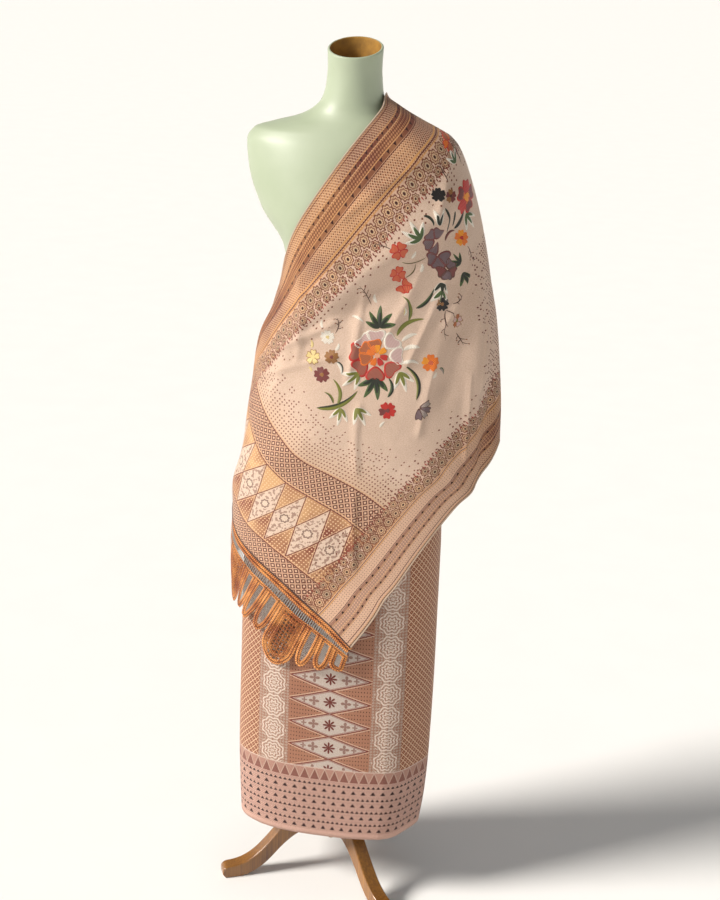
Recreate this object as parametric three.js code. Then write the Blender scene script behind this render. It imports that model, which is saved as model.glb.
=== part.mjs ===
// Songket skirt cloth and shawl, worn by a hollow, limbless dress form on a turned post with three sabre
// legs. Millimetres, +Z up. The form faces -Y and +X is its own left. While the pieces are made the post's
// axis is x = y = 0; at the end everything is shifted so that the origin is the middle of the footprint,
// on the floor.
import * as THREE from "three";
import { mergeVertices } from "three/addons/utils/BufferGeometryUtils.js";

// ---------------------------------------------------------------- driving dimensions
const SEAM_GAP = 0.3; // between pieces that touch
const SHAWL_WALL = 1.6;
const LACE_WALL = 1.6;
const SKIRT_WALL = 2;
const SHELL_WALL = 5;

const SHELL_BOTTOM = 909.3;
const NECK_RIM = 1640; // middle of the neck's rim
const NECK_TILT = Math.tan(THREE.MathUtils.degToRad(16.5)); // the neck is cut leaning forward
const NECK_TILT_START = 1560;

const SKIRT_TOP = 1190;
const SKIRT_HEM = 140;

const SHAWL_WIDTH = 650;
const RIDGE_ROUNDING = 22; // how softly the shawl turns over the arm side
const LAYER_INSET = 8; // the back stretch runs this far inside the front stretch where they cross

const LACE_DEPTH = 140;
const LACE_SEAM = 0.8; // the lace starts this far below the shawl's end
const LACE_HEADER = 17; // plain tape along the seam
const LACE_LADDER = 14; // height of the row of openings below it
const LACE_NOTCH = 68; // where neighbouring motifs part
const LACE_PERIODS = 4;
const TONGUE_WIDTH = 32; // three tongues and a medallion fill a period
const TAPE = 7; // width of one lace tape

const POLE_RADIUS = 16;
const BASE_THICKNESS = 12;
const HUB_TOP = 176;
const HUB_BOTTOM = 84;
const HUB_RADIUS = 25;
const LEG_THICKNESS = 28;
const LEG_REACH = 228;
const FOOT_LENGTH = 40;
// Degrees from +X towards +Y.
const LEG_HEADINGS = { leg_front_right: -47, leg_back_right: 78, leg_left: 205 };

// ---------------------------------------------------------------- section tables
const table = (columns, rows) =>
  rows.map((row) => Object.fromEntries(columns.map((name, i) => [name, row[i]])));

// Half sizes of the level sections, seen from the post's axis: right is -X, left is +X, front is -Y, back
// is +Y.
const SECTION_COLUMNS = ["z", "right", "left", "front", "back"];

const FORM_SECTIONS = table(SECTION_COLUMNS, [
  [900, 160, 160, 106, 109],
  [1000, 154, 154, 103, 108],
  [1060, 141, 141, 97, 101],
  [1120, 119, 119, 91, 91],
  [SKIRT_TOP, 104, 104, 92, 84],
  [1250, 108, 108, 116, 87],
  [1300, 117, 119, 128, 93],
  [1366, 160, 152, 123, 98],
  [1436, 184, 172, 106, 92],
  [1479, 188, 172, 90, 80],
  [1500, 175, 157, 78, 72],
  [1512, 140, 138, 70, 66],
  [1524, 98, 99, 62, 62],
  [1537, 73, 68, 56, 57],
  [1555, 56, 54, 52, 54],
  [1580, 49, 49, 49, 50],
  [1610, 47, 47, 47, 47],
  [NECK_RIM, 48, 48, 48, 48],
]);

const SKIRT_SECTIONS = table(SECTION_COLUMNS, [
  [SKIRT_HEM, 187, 177, 118, 120],
  [210, 190, 185, 118, 120],
  [290, 192, 189, 118, 120],
  [500, 189, 192, 118, 119],
  [730, 184, 192, 118, 117],
  [880, 177, 184, 117, 116],
  [960, 171, 173, 114, 116],
  [1040, 155, 158, 108, 110],
  [1110, 131, 132, 99, 100],
  [1150, 118, 118, 97, 94],
  [SKIRT_TOP, 106.6, 106.6, 94.6, 86.6],
]);

// The space that the shawl's outer face fills, before its folds.
const DRAPE_SECTIONS = table(SECTION_COLUMNS, [
  [420, 214, 262, 139, 137],
  [700, 212, 280, 139, 138],
  [802, 208, 290, 138, 138],
  [904, 191, 292, 137, 137],
  [1003, 179, 290, 133, 134],
  [1109, 159, 281, 127, 127],
  [1190, 134, 270, 124, 116],
  [1250, 122, 257, 127, 111],
  [1300, 128, 247, 136, 111],
  [1370, 160, 230, 137, 112],
  [1440, 186, 207, 117, 108],
  [1480, 184, 189, 104, 98],
  [1500, 174, 172, 92, 92],
  [1512, 152, 150, 83, 84],
  [1524, 118, 124, 75, 78],
  [1545, 74, 84, 64, 68],
  [1565, 58, 57, 58, 60],
  [1600, 54, 54, 56, 56],
]);

// The shawl as a flat strip laid round the drape. Each row is one line along its length, from the lower
// long edge (across 0) to the upper one (across 1). Arcs are measured on the level section from the front
// or back centre line, towards +X; the side height is where the line peaks at the arm side, a quarter of
// the way round. A bow lifts the line's middle.
const SHAWL_LINES = table(
  ["across", "frontArc", "frontHeight", "frontBow", "sideHeight", "backArc", "backHeight", "backBow"],
  [
    [0, 50, 570, 30, 956, 20, 500, 18],
    [0.1, 5, 617, 26, 1025, -14, 560, 16],
    [0.2, -44, 656, 20, 1093, -48, 618, 12],
    [0.3, -97, 693, 14, 1162, -84, 674, 8],
    [0.4, -156, 723, 8, 1231, -121, 727, 4],
    [0.5, -212, 748, 0, 1300, -158, 780, 0],
    [0.6, -262, 784, -6, 1367, -195, 832, -4],
    [0.75, -338, 836, -12, 1462, -246, 915, -10],
    [0.9, -398, 893, -36, 1530, -292, 998, -22],
    [1, -432, 934, -50, 1568, -318, 1056, -30],
  ],
);

// How far the lace's lower edge hangs aside of the seam and below it, along the seam from the lower corner.
const LACE_FALL = table(
  ["x", "frontAside", "frontDown", "backAside", "backDown"],
  [
    [0, 24, 92, 60, 110],
    [50, 40, 116, 76, 110],
    [90, 56, 130, 88, 108],
    [129, 70, 144, 94, 104],
    [165, 76, 140, 96, 102],
    [200, 78, 130, 96, 102],
    [250, 72, 142, 94, 104],
    [300, 70, 134, 92, 106],
    [400, 74, 118, 90, 108],
    [SHAWL_WIDTH, 78, 116, 86, 110],
  ],
);

// Folds of each stretch, as troughs (minus) or ridges (plus) along a line from one place to another. along
// runs from the end (0) to the arm side (1), across as above; reach is the half width in millimetres.
const FOLD_COLUMNS = ["along0", "across0", "along1", "across1", "reach", "height"];

const FRONT_FOLDS = table(FOLD_COLUMNS, [
  [0.9, 0.72, 0.5, 0.83, 26, 7],
  [0.9, 0.65, 0.62, 0.72, 22, -6],
  [0.5, 0.8, 0.36, 0.72, 20, 6],
  [0.98, 0.6, 0.74, 0.34, 24, -9],
  [0.9, 0.45, 0.8, 0.22, 22, 8],
  [0.99, 0.3, 0.82, 0.06, 26, -7],
  [0.7, 0.0, 0.55, 0.16, 24, 6],
  [0.2, 0.02, 0.06, 0.2, 26, -6],
  [0.4, 0.95, 0.2, 0.9, 26, 7],
  [0.3, 0.55, 0.05, 0.66, 34, 6],
]);

const BACK_FOLDS = table(FOLD_COLUMNS, [
  [0.95, 0.8, 0.5, 0.9, 26, 6],
  [0.96, 0.62, 0.6, 0.5, 28, -6],
  [0.9, 0.42, 0.45, 0.3, 30, 8],
  [0.97, 0.25, 0.7, 0.08, 26, -6],
  [0.5, 0.05, 0.2, 0.2, 30, 7],
]);

// Soft ridges and troughs down the skirt: a compass angle round it (0 is the front, plus is towards +X),
// the half width in degrees and the height at the hem. They die away towards the waist.
const SKIRT_FOLDS = table(
  ["angle", "reach", "atHem"],
  [
    [84, 9, 5],
    [62, 12, -4],
    [36, 9, 1.6],
    [-58, 16, 3],
    [-88, 18, -4],
    [-128, 20, 4],
    [150, 18, -4],
    [112, 16, 4],
  ],
);

// ---------------------------------------------------------------- curves and sections
// A smooth value between the rows of a table, which never swings past them.
function columnAt(rows, key, name, at) {
  const last = rows.length - 1;
  const clamped = THREE.MathUtils.clamp(at, rows[0][key], rows[last][key]);
  let i = 0;
  while (i < last - 1 && rows[i + 1][key] < clamped) i += 1;
  const slope = (k) => (rows[k + 1][name] - rows[k][name]) / (rows[k + 1][key] - rows[k][key]);
  const tangent = (k) => {
    if (k === 0) return slope(0);
    if (k === last) return slope(last - 1);
    const before = slope(k - 1);
    const after = slope(k);
    return before * after > 0 ? (2 * before * after) / (before + after) : 0;
  };
  const span = rows[i + 1][key] - rows[i][key];
  const t = (clamped - rows[i][key]) / span;
  const [t2, t3] = [t * t, t * t * t];
  return (
    (2 * t3 - 3 * t2 + 1) * rows[i][name] +
    (t3 - 2 * t2 + t) * span * tangent(i) +
    (3 * t2 - 2 * t3) * rows[i + 1][name] +
    (t3 - t2) * span * tangent(i + 1)
  );
}

const SIDES = SECTION_COLUMNS.slice(1);
const sectionAt = (rows, z) => Object.fromEntries(SIDES.map((name) => [name, columnAt(rows, "z", name, z)]));

// A point of a level section; angle 0 is the front and a quarter turn is +X. squareness 1 is an ellipse.
function onSection(section, angle, squareness = 1) {
  const [s, c] = [Math.sin(angle), Math.cos(angle)];
  const bend = (value) => Math.sign(value) * Math.abs(value) ** squareness;
  const [halfX, halfY] = [s > 0 ? section.left : section.right, c > 0 ? section.front : section.back];
  return [halfX * bend(s), -halfY * bend(c)];
}

// The angle reached after walking an arc along the section, from the front centre line (or the back one).
function angleAtArc(section, arc, fromBack) {
  const start = fromBack ? Math.PI : 0;
  const heading = Math.sign(arc) * (fromBack ? -1 : 1);
  const step = Math.PI / 180;
  let [walked, angle] = [0, start];
  let here = onSection(section, angle);
  while (walked < Math.abs(arc)) {
    const next = onSection(section, angle + heading * step);
    const length = Math.hypot(next[0] - here[0], next[1] - here[1]);
    const share = Math.min(1, (Math.abs(arc) - walked) / length);
    angle += heading * step * share;
    walked += length;
    here = next;
  }
  return angle;
}

// The arc from the centre line to the arm side.
function quarterArc(section, fromBack) {
  const steps = 48;
  const start = fromBack ? Math.PI : 0;
  let length = 0;
  let here = onSection(section, start);
  for (let i = 1; i <= steps; i += 1) {
    const next = onSection(section, start + ((Math.PI / 2 - start) * i) / steps);
    length += Math.hypot(next[0] - here[0], next[1] - here[1]);
    here = next;
  }
  return length;
}

const smooth = (t) => THREE.MathUtils.smoothstep(t, 0, 1);

// ---------------------------------------------------------------- bodies
// Makes sure that a closed body's faces point outwards.
function closedBody(positions, indices) {
  const geometry = new THREE.BufferGeometry();
  geometry.setAttribute("position", new THREE.Float32BufferAttribute(positions.flat(), 3));
  const [a, b, c] = [new THREE.Vector3(), new THREE.Vector3(), new THREE.Vector3()];
  let volume = 0;
  for (let i = 0; i < indices.length; i += 3) {
    a.fromArray(positions[indices[i]]);
    b.fromArray(positions[indices[i + 1]]);
    c.fromArray(positions[indices[i + 2]]);
    volume += a.dot(b.cross(c));
  }
  if (volume < 0) indices.reverse();
  geometry.setIndex(indices);
  geometry.computeVertexNormals();
  return geometry;
}

const minus = (p, q) => [p[0] - q[0], p[1] - q[1], p[2] - q[2]];
const along = (p, n, distance) => [p[0] + n[0] * distance, p[1] + n[1] * distance, p[2] + n[2] * distance];

function crossed(u, v) {
  const n = [u[1] * v[2] - u[2] * v[1], u[2] * v[0] - u[0] * v[2], u[0] * v[1] - u[1] * v[0]];
  const length = Math.hypot(...n);
  return n.map((value) => value / length);
}

// The outward normal of surface(a, b), from its slopes.
function normalOf(surface, a, b, step = 0.002) {
  return crossed(
    minus(surface(a + step, b), surface(a - step, b)),
    minus(surface(a, b + step), surface(a, b - step)),
  );
}

// A wall through a grid of outer points: the inner face is the outer one moved in along the normals, and
// both faces split their cells along the same diagonal, so that they never cross. A tube closes on itself
// in its first direction, and its two rims stay level.
function wall(surface, { columns, rows, thickness, tube = false }) {
  const outer = [];
  const inner = [];
  for (let j = 0; j < rows.length; j += 1) {
    for (const a of columns) {
      const point = surface(a, rows[j]);
      const normal = normalOf(surface, a, rows[j]);
      if (tube && (j === 0 || j === rows.length - 1)) {
        const level = Math.hypot(normal[0], normal[1]);
        normal.splice(0, 3, normal[0] / level, normal[1] / level, 0);
      }
      outer.push(point);
      inner.push(along(point, normal, -thickness));
    }
  }
  const across = columns.length;
  const total = outer.length;
  const indices = [];
  const quad = (p, q, r, s) => indices.push(p, q, r, p, r, s);
  const lastColumn = tube ? across : across - 1;
  for (let j = 0; j < rows.length - 1; j += 1) {
    for (let i = 0; i < lastColumn; i += 1) {
      const [p, q] = [j * across + i, j * across + ((i + 1) % across)];
      quad(p, q, q + across, p + across);
      quad(total + p, total + p + across, total + q + across, total + q);
    }
  }
  for (let i = 0; i < lastColumn; i += 1) {
    const [p, q] = [i, (i + 1) % across];
    const lift = (rows.length - 1) * across;
    quad(q, p, total + p, total + q);
    quad(lift + p, lift + q, total + lift + q, total + lift + p);
  }
  for (let j = 0; j < rows.length - 1 && !tube; j += 1) {
    const [p, q] = [j * across, (j + 1) * across];
    quad(p, q, total + q, total + p);
    quad(q + across - 1, p + across - 1, total + p + across - 1, total + q + across - 1);
  }
  return closedBody(outer.concat(inner), indices);
}

const spaced = (from, to, count) =>
  Array.from({ length: count + 1 }, (unused, i) => from + ((to - from) * i) / count);
const ringAngles = (count) => spaced(0, 2 * Math.PI, count).slice(0, count);

// Height above the surface from a list of folds: each is a rounded bump round a line, fading to its ends.
function foldHeight(folds, t, v) {
  const [unitAlong, unitAcross] = [700, SHAWL_WIDTH];
  let height = 0;
  for (const fold of folds) {
    const line = [(fold.along1 - fold.along0) * unitAlong, (fold.across1 - fold.across0) * unitAcross];
    const place = [(t - fold.along0) * unitAlong, (v - fold.across0) * unitAcross];
    const length = Math.hypot(...line);
    const down = (place[0] * line[0] + place[1] * line[1]) / length;
    const aside = (place[0] * line[1] - place[1] * line[0]) / length;
    const overrun = Math.max(0, Math.abs(down - length / 2) - length / 2);
    const fade = Math.exp(-((overrun / (1.6 * fold.reach)) ** 2));
    height += fold.height * fade * Math.exp(-((aside / fold.reach) ** 2));
  }
  return height;
}

// ---------------------------------------------------------------- dress form
const FORM_COLUMNS = 40;

function formSurface(angle, height) {
  const [x, y] = onSection(sectionAt(FORM_SECTIONS, height), angle);
  const lean = smooth((height - NECK_TILT_START) / (NECK_RIM - NECK_TILT_START));
  return [x, y, height + y * NECK_TILT * lean];
}

function makeFormShell() {
  const rows = [
    SHELL_BOTTOM, 960, 1010, 1060, 1120, SKIRT_TOP, 1250, 1300, 1340, 1390, 1436, 1465, 1486, 1500, 1512, 1524,
    1537, 1555, 1580, 1610, NECK_RIM,
  ];
  return wall(formSurface, { columns: ringAngles(FORM_COLUMNS), rows, thickness: SHELL_WALL, tube: true });
}

function makeFormBase() {
  const section = sectionAt(FORM_SECTIONS, SHELL_BOTTOM);
  const outline = ringAngles(FORM_COLUMNS).map((angle) => {
    const [x, y] = onSection(section, angle);
    return new THREE.Vector2(x * 0.985, y * 0.985);
  });
  const plate = new THREE.ExtrudeGeometry(new THREE.Shape(outline), {
    depth: BASE_THICKNESS,
    bevelEnabled: false,
  });
  plate.translate(0, 0, SHELL_BOTTOM - SEAM_GAP - BASE_THICKNESS);
  return plate;
}

// ---------------------------------------------------------------- stand
const BASE_UNDERSIDE = SHELL_BOTTOM - SEAM_GAP - BASE_THICKNESS;

// Turns a profile of [radius, height] points, which starts and ends on the axis, round +Z.
function turned(profile, segments) {
  const lathe = new THREE.LatheGeometry(profile.map(([r, z]) => new THREE.Vector2(r, z)), segments);
  lathe.rotateX(Math.PI / 2);
  return mergedSolid(lathe);
}

// Welds a geometry's shared corners and drops the slivers at its poles, so that it is one closed body.
function mergedSolid(geometry) {
  const bare = geometry.clone();
  bare.deleteAttribute("normal");
  bare.deleteAttribute("uv");
  const welded = mergeVertices(bare, 1e-3);
  const positions = [];
  const source = welded.getAttribute("position");
  for (let i = 0; i < source.count; i += 1) positions.push([source.getX(i), source.getY(i), source.getZ(i)]);
  const indices = [];
  const index = welded.getIndex().array;
  for (let i = 0; i < index.length; i += 3) {
    const [a, b, c] = [index[i], index[i + 1], index[i + 2]];
    if (a !== b && b !== c && c !== a) indices.push(a, b, c);
  }
  return closedBody(positions, indices);
}

function makePole() {
  const foot = HUB_TOP + SEAM_GAP;
  const top = BASE_UNDERSIDE - SEAM_GAP;
  return turned(
    [
      [0, foot], [POLE_RADIUS + 5, foot], [POLE_RADIUS + 7, foot + 6], [POLE_RADIUS + 3, foot + 13],
      [POLE_RADIUS, foot + 18], [POLE_RADIUS + 3, foot + 34], [POLE_RADIUS + 1, foot + 70],
      [POLE_RADIUS, top - 60], [POLE_RADIUS + 2, top - 30], [POLE_RADIUS + 12, top - 8],
      [POLE_RADIUS + 12, top], [0, top],
    ],
    20,
  );
}

function makeHub() {
  return turned(
    [
      [0, HUB_BOTTOM - 26], [5, HUB_BOTTOM - 25], [11, HUB_BOTTOM - 18], [9, HUB_BOTTOM - 10],
      [15, HUB_BOTTOM - 5],
      [HUB_RADIUS, HUB_BOTTOM], [HUB_RADIUS, HUB_TOP - 8], [HUB_RADIUS - 3, HUB_TOP], [0, HUB_TOP],
    ],
    24,
  );
}

// One sabre leg in its own plane: out and down from the hub in a slack S, ending on a flat rounded foot.
function makeLeg() {
  const joint = HUB_RADIUS + SEAM_GAP;
  const shape = new THREE.Shape();
  shape.moveTo(joint, HUB_TOP - 14);
  shape.bezierCurveTo(joint + 48, HUB_TOP - 8, joint + 82, 96, LEG_REACH - 74, 52);
  shape.bezierCurveTo(LEG_REACH - 50, 30, LEG_REACH - 30, 27, LEG_REACH - 12, 26);
  shape.quadraticCurveTo(LEG_REACH + 2, 24, LEG_REACH, 8);
  shape.lineTo(LEG_REACH - 5, 0);
  shape.lineTo(LEG_REACH - FOOT_LENGTH, 0);
  shape.bezierCurveTo(LEG_REACH - 70, 6, LEG_REACH - 92, 26, LEG_REACH - 112, 50);
  shape.bezierCurveTo(joint + 52, 92, joint + 30, 98, joint, HUB_BOTTOM + 10);
  shape.closePath();
  const leg = new THREE.ExtrudeGeometry(shape, {
    depth: LEG_THICKNESS,
    bevelEnabled: false,
    curveSegments: 8,
  });
  leg.translate(0, 0, -LEG_THICKNESS / 2);
  leg.rotateX(Math.PI / 2);
  return leg;
}

// ---------------------------------------------------------------- skirt cloth
// The skirt's front is pulled flat and ends in a sharper fold at +X; its back is rounder.
function skirtSurface(angle, z) {
  const flatness = smooth((1050 - z) / 350);
  const forward = smooth(0.5 + 0.5 * Math.cos(angle));
  const squareness = 1 - flatness * (0.08 + 0.2 * forward + 0.05 * forward * Math.sin(angle));
  const section = sectionAt(SKIRT_SECTIONS, z);
  const [x, y] = onSection(section, angle, squareness);
  const rise = (SKIRT_TOP - z) / (SKIRT_TOP - SKIRT_HEM);
  let out = 0;
  for (const fold of SKIRT_FOLDS) {
    const away = THREE.MathUtils.radToDeg(angle) - fold.angle;
    const turn = THREE.MathUtils.euclideanModulo(away + 180, 360) - 180;
    out += fold.atHem * smooth(rise) * Math.exp(-((turn / fold.reach) ** 2));
  }
  const radius = Math.hypot(x, y);
  return [x * (1 + out / radius), y * (1 + out / radius), z];
}

function makeSkirt() {
  const rows = [SKIRT_HEM, 260, 420, 580, 730, 850, 930, 1000, 1060, 1110, 1150, SKIRT_TOP];
  return wall(skirtSurface, { columns: ringAngles(FORM_COLUMNS), rows, thickness: SKIRT_WALL, tube: true });
}

// ---------------------------------------------------------------- shawl
// A point of the drape at an arc from the centre line and a height, moved out by a distance (minus is
// inwards).
function drapePoint(arc, z, fromBack, out) {
  const section = sectionAt(DRAPE_SECTIONS, z);
  const [x, y] = onSection(section, angleAtArc(section, arc, fromBack));
  const radius = Math.hypot(x, y);
  return [x * (1 + out / radius), y * (1 + out / radius), z];
}

// Where a line of the shawl ends and peaks, its section arc there and how far its middle is lifted.
function shawlLine(fromBack, v) {
  const value = (name) => columnAt(SHAWL_LINES, "across", name, v);
  const stretch = fromBack ? "back" : "front";
  const sideHeight = value("sideHeight");
  return {
    endArc: value(`${stretch}Arc`),
    endHeight: value(`${stretch}Height`),
    bow: value(`${stretch}Bow`),
    sideHeight,
    sideArc: quarterArc(sectionAt(DRAPE_SECTIONS, sideHeight), fromBack),
  };
}

// One stretch of the shawl: t runs from the sewn end (0) to the arm side (1), v across from the lower long
// edge.
function shawlSurface(fromBack, t, v) {
  const line = shawlLine(fromBack, v);
  const run = line.sideArc - line.endArc;
  const left = (1 - t) * run;
  const eased = (distance) => Math.hypot(distance, RIDGE_ROUNDING) - RIDGE_ROUNDING;
  const lift = line.bow * (0.5 - 0.5 * Math.cos(2 * Math.PI * t));
  const z = line.sideHeight + ((line.endHeight - line.sideHeight) * eased(left)) / eased(run) + lift;
  const inset = fromBack ? LAYER_INSET * smooth((1 - t) / 0.35) : 0;
  const hold = smooth((1 - t) / 0.12) * smooth((1.04 - v) / 0.1);
  const folds = hold * foldHeight(fromBack ? BACK_FOLDS : FRONT_FOLDS, t, v);
  return drapePoint(line.sideArc - left, z, fromBack, folds - inset);
}

function makeShawl(fromBack, { alongCells, acrossCells }) {
  const ridge = 1 - SEAM_GAP / 2 / SHAWL_WIDTH;
  const surface = fromBack ? (t, v) => shawlSurface(true, 1 - t, v) : (t, v) => shawlSurface(false, t, v);
  const columns = fromBack ? spaced(1 - ridge, 1, alongCells) : spaced(0, ridge, alongCells);
  return wall(surface, { columns, rows: spaced(0, 1, acrossCells), thickness: SHAWL_WALL });
}

// ---------------------------------------------------------------- lace
// The lace hangs on from the shawl's end: x runs along the seam from the lower corner, y down from it.
function laceSurface(fromBack, x, y) {
  const v = THREE.MathUtils.clamp(x / SHAWL_WIDTH, 0, 1);
  const line = shawlLine(fromBack, v);
  const stretch = fromBack ? "back" : "front";
  const fall = (name) => (columnAt(LACE_FALL, "x", `${stretch}${name}`, x) * y) / LACE_DEPTH;
  const inset = fromBack ? LAYER_INSET : 0;
  const radius = (point) => Math.hypot(point[0], point[1]);
  const bare = drapePoint(line.endArc, line.endHeight, fromBack, 0);
  const fold = radius(shawlSurface(fromBack, 0, v)) - radius(bare) + inset;
  const wave = 3 * Math.sin((2 * Math.PI * LACE_PERIODS * x) / SHAWL_WIDTH) * smooth(y / LACE_DEPTH);
  const out = fold * (1 - y / (2 * LACE_DEPTH)) + wave - inset;
  return drapePoint(line.endArc - fall("Aside"), line.endHeight - fall("Down"), fromBack, out);
}

// Heights of the corners on every side that two cells of the lace share.
const LACE_LEVELS = [LACE_SEAM, LACE_HEADER, LACE_HEADER + LACE_LADDER, LACE_NOTCH];
const ZIGZAG = 0.3; // keeps three corners of such a side from lying on one straight line

const sharedSide = (x, heights) => heights.map((y, i) => new THREE.Vector2(x + (i % 2) * ZIGZAG, y));

// An opening with straight sides, given by its middle and its half sizes; pointed ones come to a tip at
// both ends.
function opening(x, y, halfX, halfY, pointed = false) {
  const shoulder = pointed ? halfY - halfX * 0.7 : halfY;
  const corners = [[-halfX, -shoulder], [halfX, -shoulder], [halfX, shoulder], [-halfX, shoulder]];
  if (pointed) {
    corners.splice(1, 0, [0, -halfY]);
    corners.splice(4, 0, [0, halfY]);
  }
  return corners.map(([across, down]) => new THREE.Vector2(x + across, y + down));
}

// The corners of a motif's rounded bottom between its edge at the notch and the far edge, or its middle.
function motifBottom(middle, half, depth, steps, turn) {
  const inner = spaced(0, turn, steps).slice(1, -1);
  return inner.map((at) => {
    return new THREE.Vector2(middle - half * Math.cos(at), LACE_NOTCH + (depth - LACE_NOTCH) * Math.sin(at));
  });
}

function ladderOpenings(from, to, count) {
  const step = (to - from) / count;
  const middle = LACE_HEADER + LACE_LADDER / 2;
  const places = spaced(from + step / 2, to - step / 2, count - 1);
  return places.map((x) => opening(x, middle, Math.abs(step) / 2 - 2, LACE_LADDER / 2 - 0.6));
}

// A tongue of tape round one long opening.
function tongueCell(from, depth) {
  const half = TONGUE_WIDTH / 2;
  const [middle, to] = [from + half, from + TONGUE_WIDTH];
  const bottom = motifBottom(middle, half, depth, 6, Math.PI);
  const top = LACE_HEADER + LACE_LADDER + TAPE;
  const tall = (depth - TAPE - 1 - top) / 2;
  return {
    outline: [...sharedSide(from, LACE_LEVELS), ...bottom, ...sharedSide(to, LACE_LEVELS).reverse()],
    openings: [...ladderOpenings(from, to, 2), opening(middle, top + tall, half - TAPE, tall, true)],
  };
}

// Half of a medallion, from its left or right edge to its centre line.
function medallionCell(edge, middle, depth, netted) {
  const half = middle - edge;
  const inwards = Math.sign(half);
  const centre = sharedSide(middle, [...LACE_LEVELS, depth - 2 * TAPE, depth]);
  const net = netted ? [[5, 72], [14.5, 72], [5, 88], [14.5, 88], [5, 104], [14.5, 104]] : [[11, 88]];
  const [netX, netY] = netted ? [3, 5.6] : [6.5, 22];
  return {
    outline: [
      ...sharedSide(edge, LACE_LEVELS),
      ...motifBottom(middle, half, depth, 4, Math.PI / 2),
      ...centre.reverse(),
    ],
    openings: [
      ...ladderOpenings(edge, middle, 2),
      opening(edge + inwards * (TAPE + 2), LACE_NOTCH - 3, 2.6, 14, true),
      ...net.map(([x, y]) => opening(middle - inwards * x, y, netX, netY)),
    ],
  };
}

// Three tongues and a medallion, over and over; the tongues by the lower corner are shorter.
function laceCells(netted) {
  const period = SHAWL_WIDTH / LACE_PERIODS;
  const cells = [];
  for (let i = 0; i < LACE_PERIODS; i += 1) {
    const start = i * period;
    const depths = i === 0 ? [84, 104, 118] : [114, 122, 116];
    depths.forEach((depth, place) => cells.push(tongueCell(start + place * TONGUE_WIDTH, depth)));
    const [left, right] = [start + depths.length * TONGUE_WIDTH, start + period];
    for (const edge of [left, right]) cells.push(medallionCell(edge, (left + right) / 2, LACE_DEPTH, netted));
  }
  return cells;
}

// Fills the cells with triangles that share their corners.
function flatLace(cells) {
  const points = [];
  const known = new Map();
  const triangles = [];
  const numberOf = (point) => {
    const key = `${point.x.toFixed(2)} ${point.y.toFixed(2)}`;
    if (!known.has(key)) known.set(key, points.push([point.x, point.y]) - 1);
    return known.get(key);
  };
  for (const { outline, openings } of cells) {
    const corners = [...outline, ...openings.flat()].map(numberOf);
    for (const face of THREE.ShapeUtils.triangulateShape(outline, openings)) {
      const [a, b, c] = face.map((i) => corners[i]);
      const [p, q, r] = [points[a], points[b], points[c]];
      const turn = (q[0] - p[0]) * (r[1] - p[1]) - (q[1] - p[1]) * (r[0] - p[0]);
      triangles.push(turn > 0 ? [a, b, c] : [a, c, b]);
    }
  }
  return { points, triangles };
}

// Bends a flat sheet of triangles onto a surface and gives it a back and a wall along every free edge.
function bentSheet({ points, triangles }, surface, thickness) {
  const outer = points.map(([x, y]) => surface(x, y));
  const inner = points.map(([x, y], i) => along(outer[i], normalOf(surface, x, y, 1), thickness));
  const total = points.length;
  const free = new Map();
  const indices = [];
  for (const [a, b, c] of triangles) {
    indices.push(a, b, c, total + c, total + b, total + a);
    for (const [p, q] of [[a, b], [b, c], [c, a]]) {
      if (!free.delete(`${q} ${p}`)) free.set(`${p} ${q}`, [p, q]);
    }
  }
  for (const [p, q] of free.values()) indices.push(q, p, total + p, q, total + p, total + q);
  return closedBody(outer.concat(inner), indices);
}

function makeLace(fromBack) {
  const surface = (x, y) => laceSurface(fromBack, x, y);
  return bentSheet(flatLace(laceCells(!fromBack)), surface, fromBack ? LACE_WALL : -LACE_WALL);
}

// ---------------------------------------------------------------- materials and the finished group
const finish = (color, roughness, metalness = 0) =>
  new THREE.MeshStandardMaterial({ color, roughness, metalness });
const songket = finish(0xc08a72, 0.55, 0.1);
const shawlCloth = finish(0xd9b49a, 0.5, 0.05);
const lacework = finish(0xc87a3e, 0.8);
const mouldedShell = finish(0xdde5c9, 0.4);
const board = finish(0xb08a5a, 0.7);
const darkWood = finish(0xa86a14, 0.35);

const piece = (name, geometry, material) => {
  const mesh = new THREE.Mesh(geometry, material);
  mesh.name = name;
  return mesh;
};

const set = new THREE.Group();
set.add(
  piece("form_shell", makeFormShell(), mouldedShell),
  piece("form_base", makeFormBase(), board),
  piece("pole", makePole(), darkWood),
  piece("hub", makeHub(), darkWood),
);
for (const [name, heading] of Object.entries(LEG_HEADINGS)) {
  const leg = piece(name, makeLeg(), darkWood);
  leg.rotation.z = THREE.MathUtils.degToRad(heading);
  set.add(leg);
}
set.add(
  piece("skirt", makeSkirt(), songket),
  piece("shawl_front", makeShawl(false, { alongCells: 28, acrossCells: 18 }), shawlCloth),
  piece("shawl_back", makeShawl(true, { alongCells: 20, acrossCells: 16 }), shawlCloth),
  piece("lace_front", makeLace(false), lacework),
  piece("lace_back", makeLace(true), lacework),
);

const middle = new THREE.Box3().setFromObject(set).getCenter(new THREE.Vector3());
set.position.set(-middle.x, -middle.y, 0);
set.updateMatrixWorld(true);

export default set;
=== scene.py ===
# %% [markdown]
# # A songket skirt and shawl on a dress form
# The set is a wrapped skirt cloth and a long shawl with woven borders, an embroidered middle and lace ends.
# They hang on a hollow, limbless form on a turned post. The solids are already packed, and this script
# dresses them: every soft solid gets a finer piece on the same surface, and every finish is made from nodes.

import bmesh
import bpy
import numpy as np
from mathutils import Matrix, Vector


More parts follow.
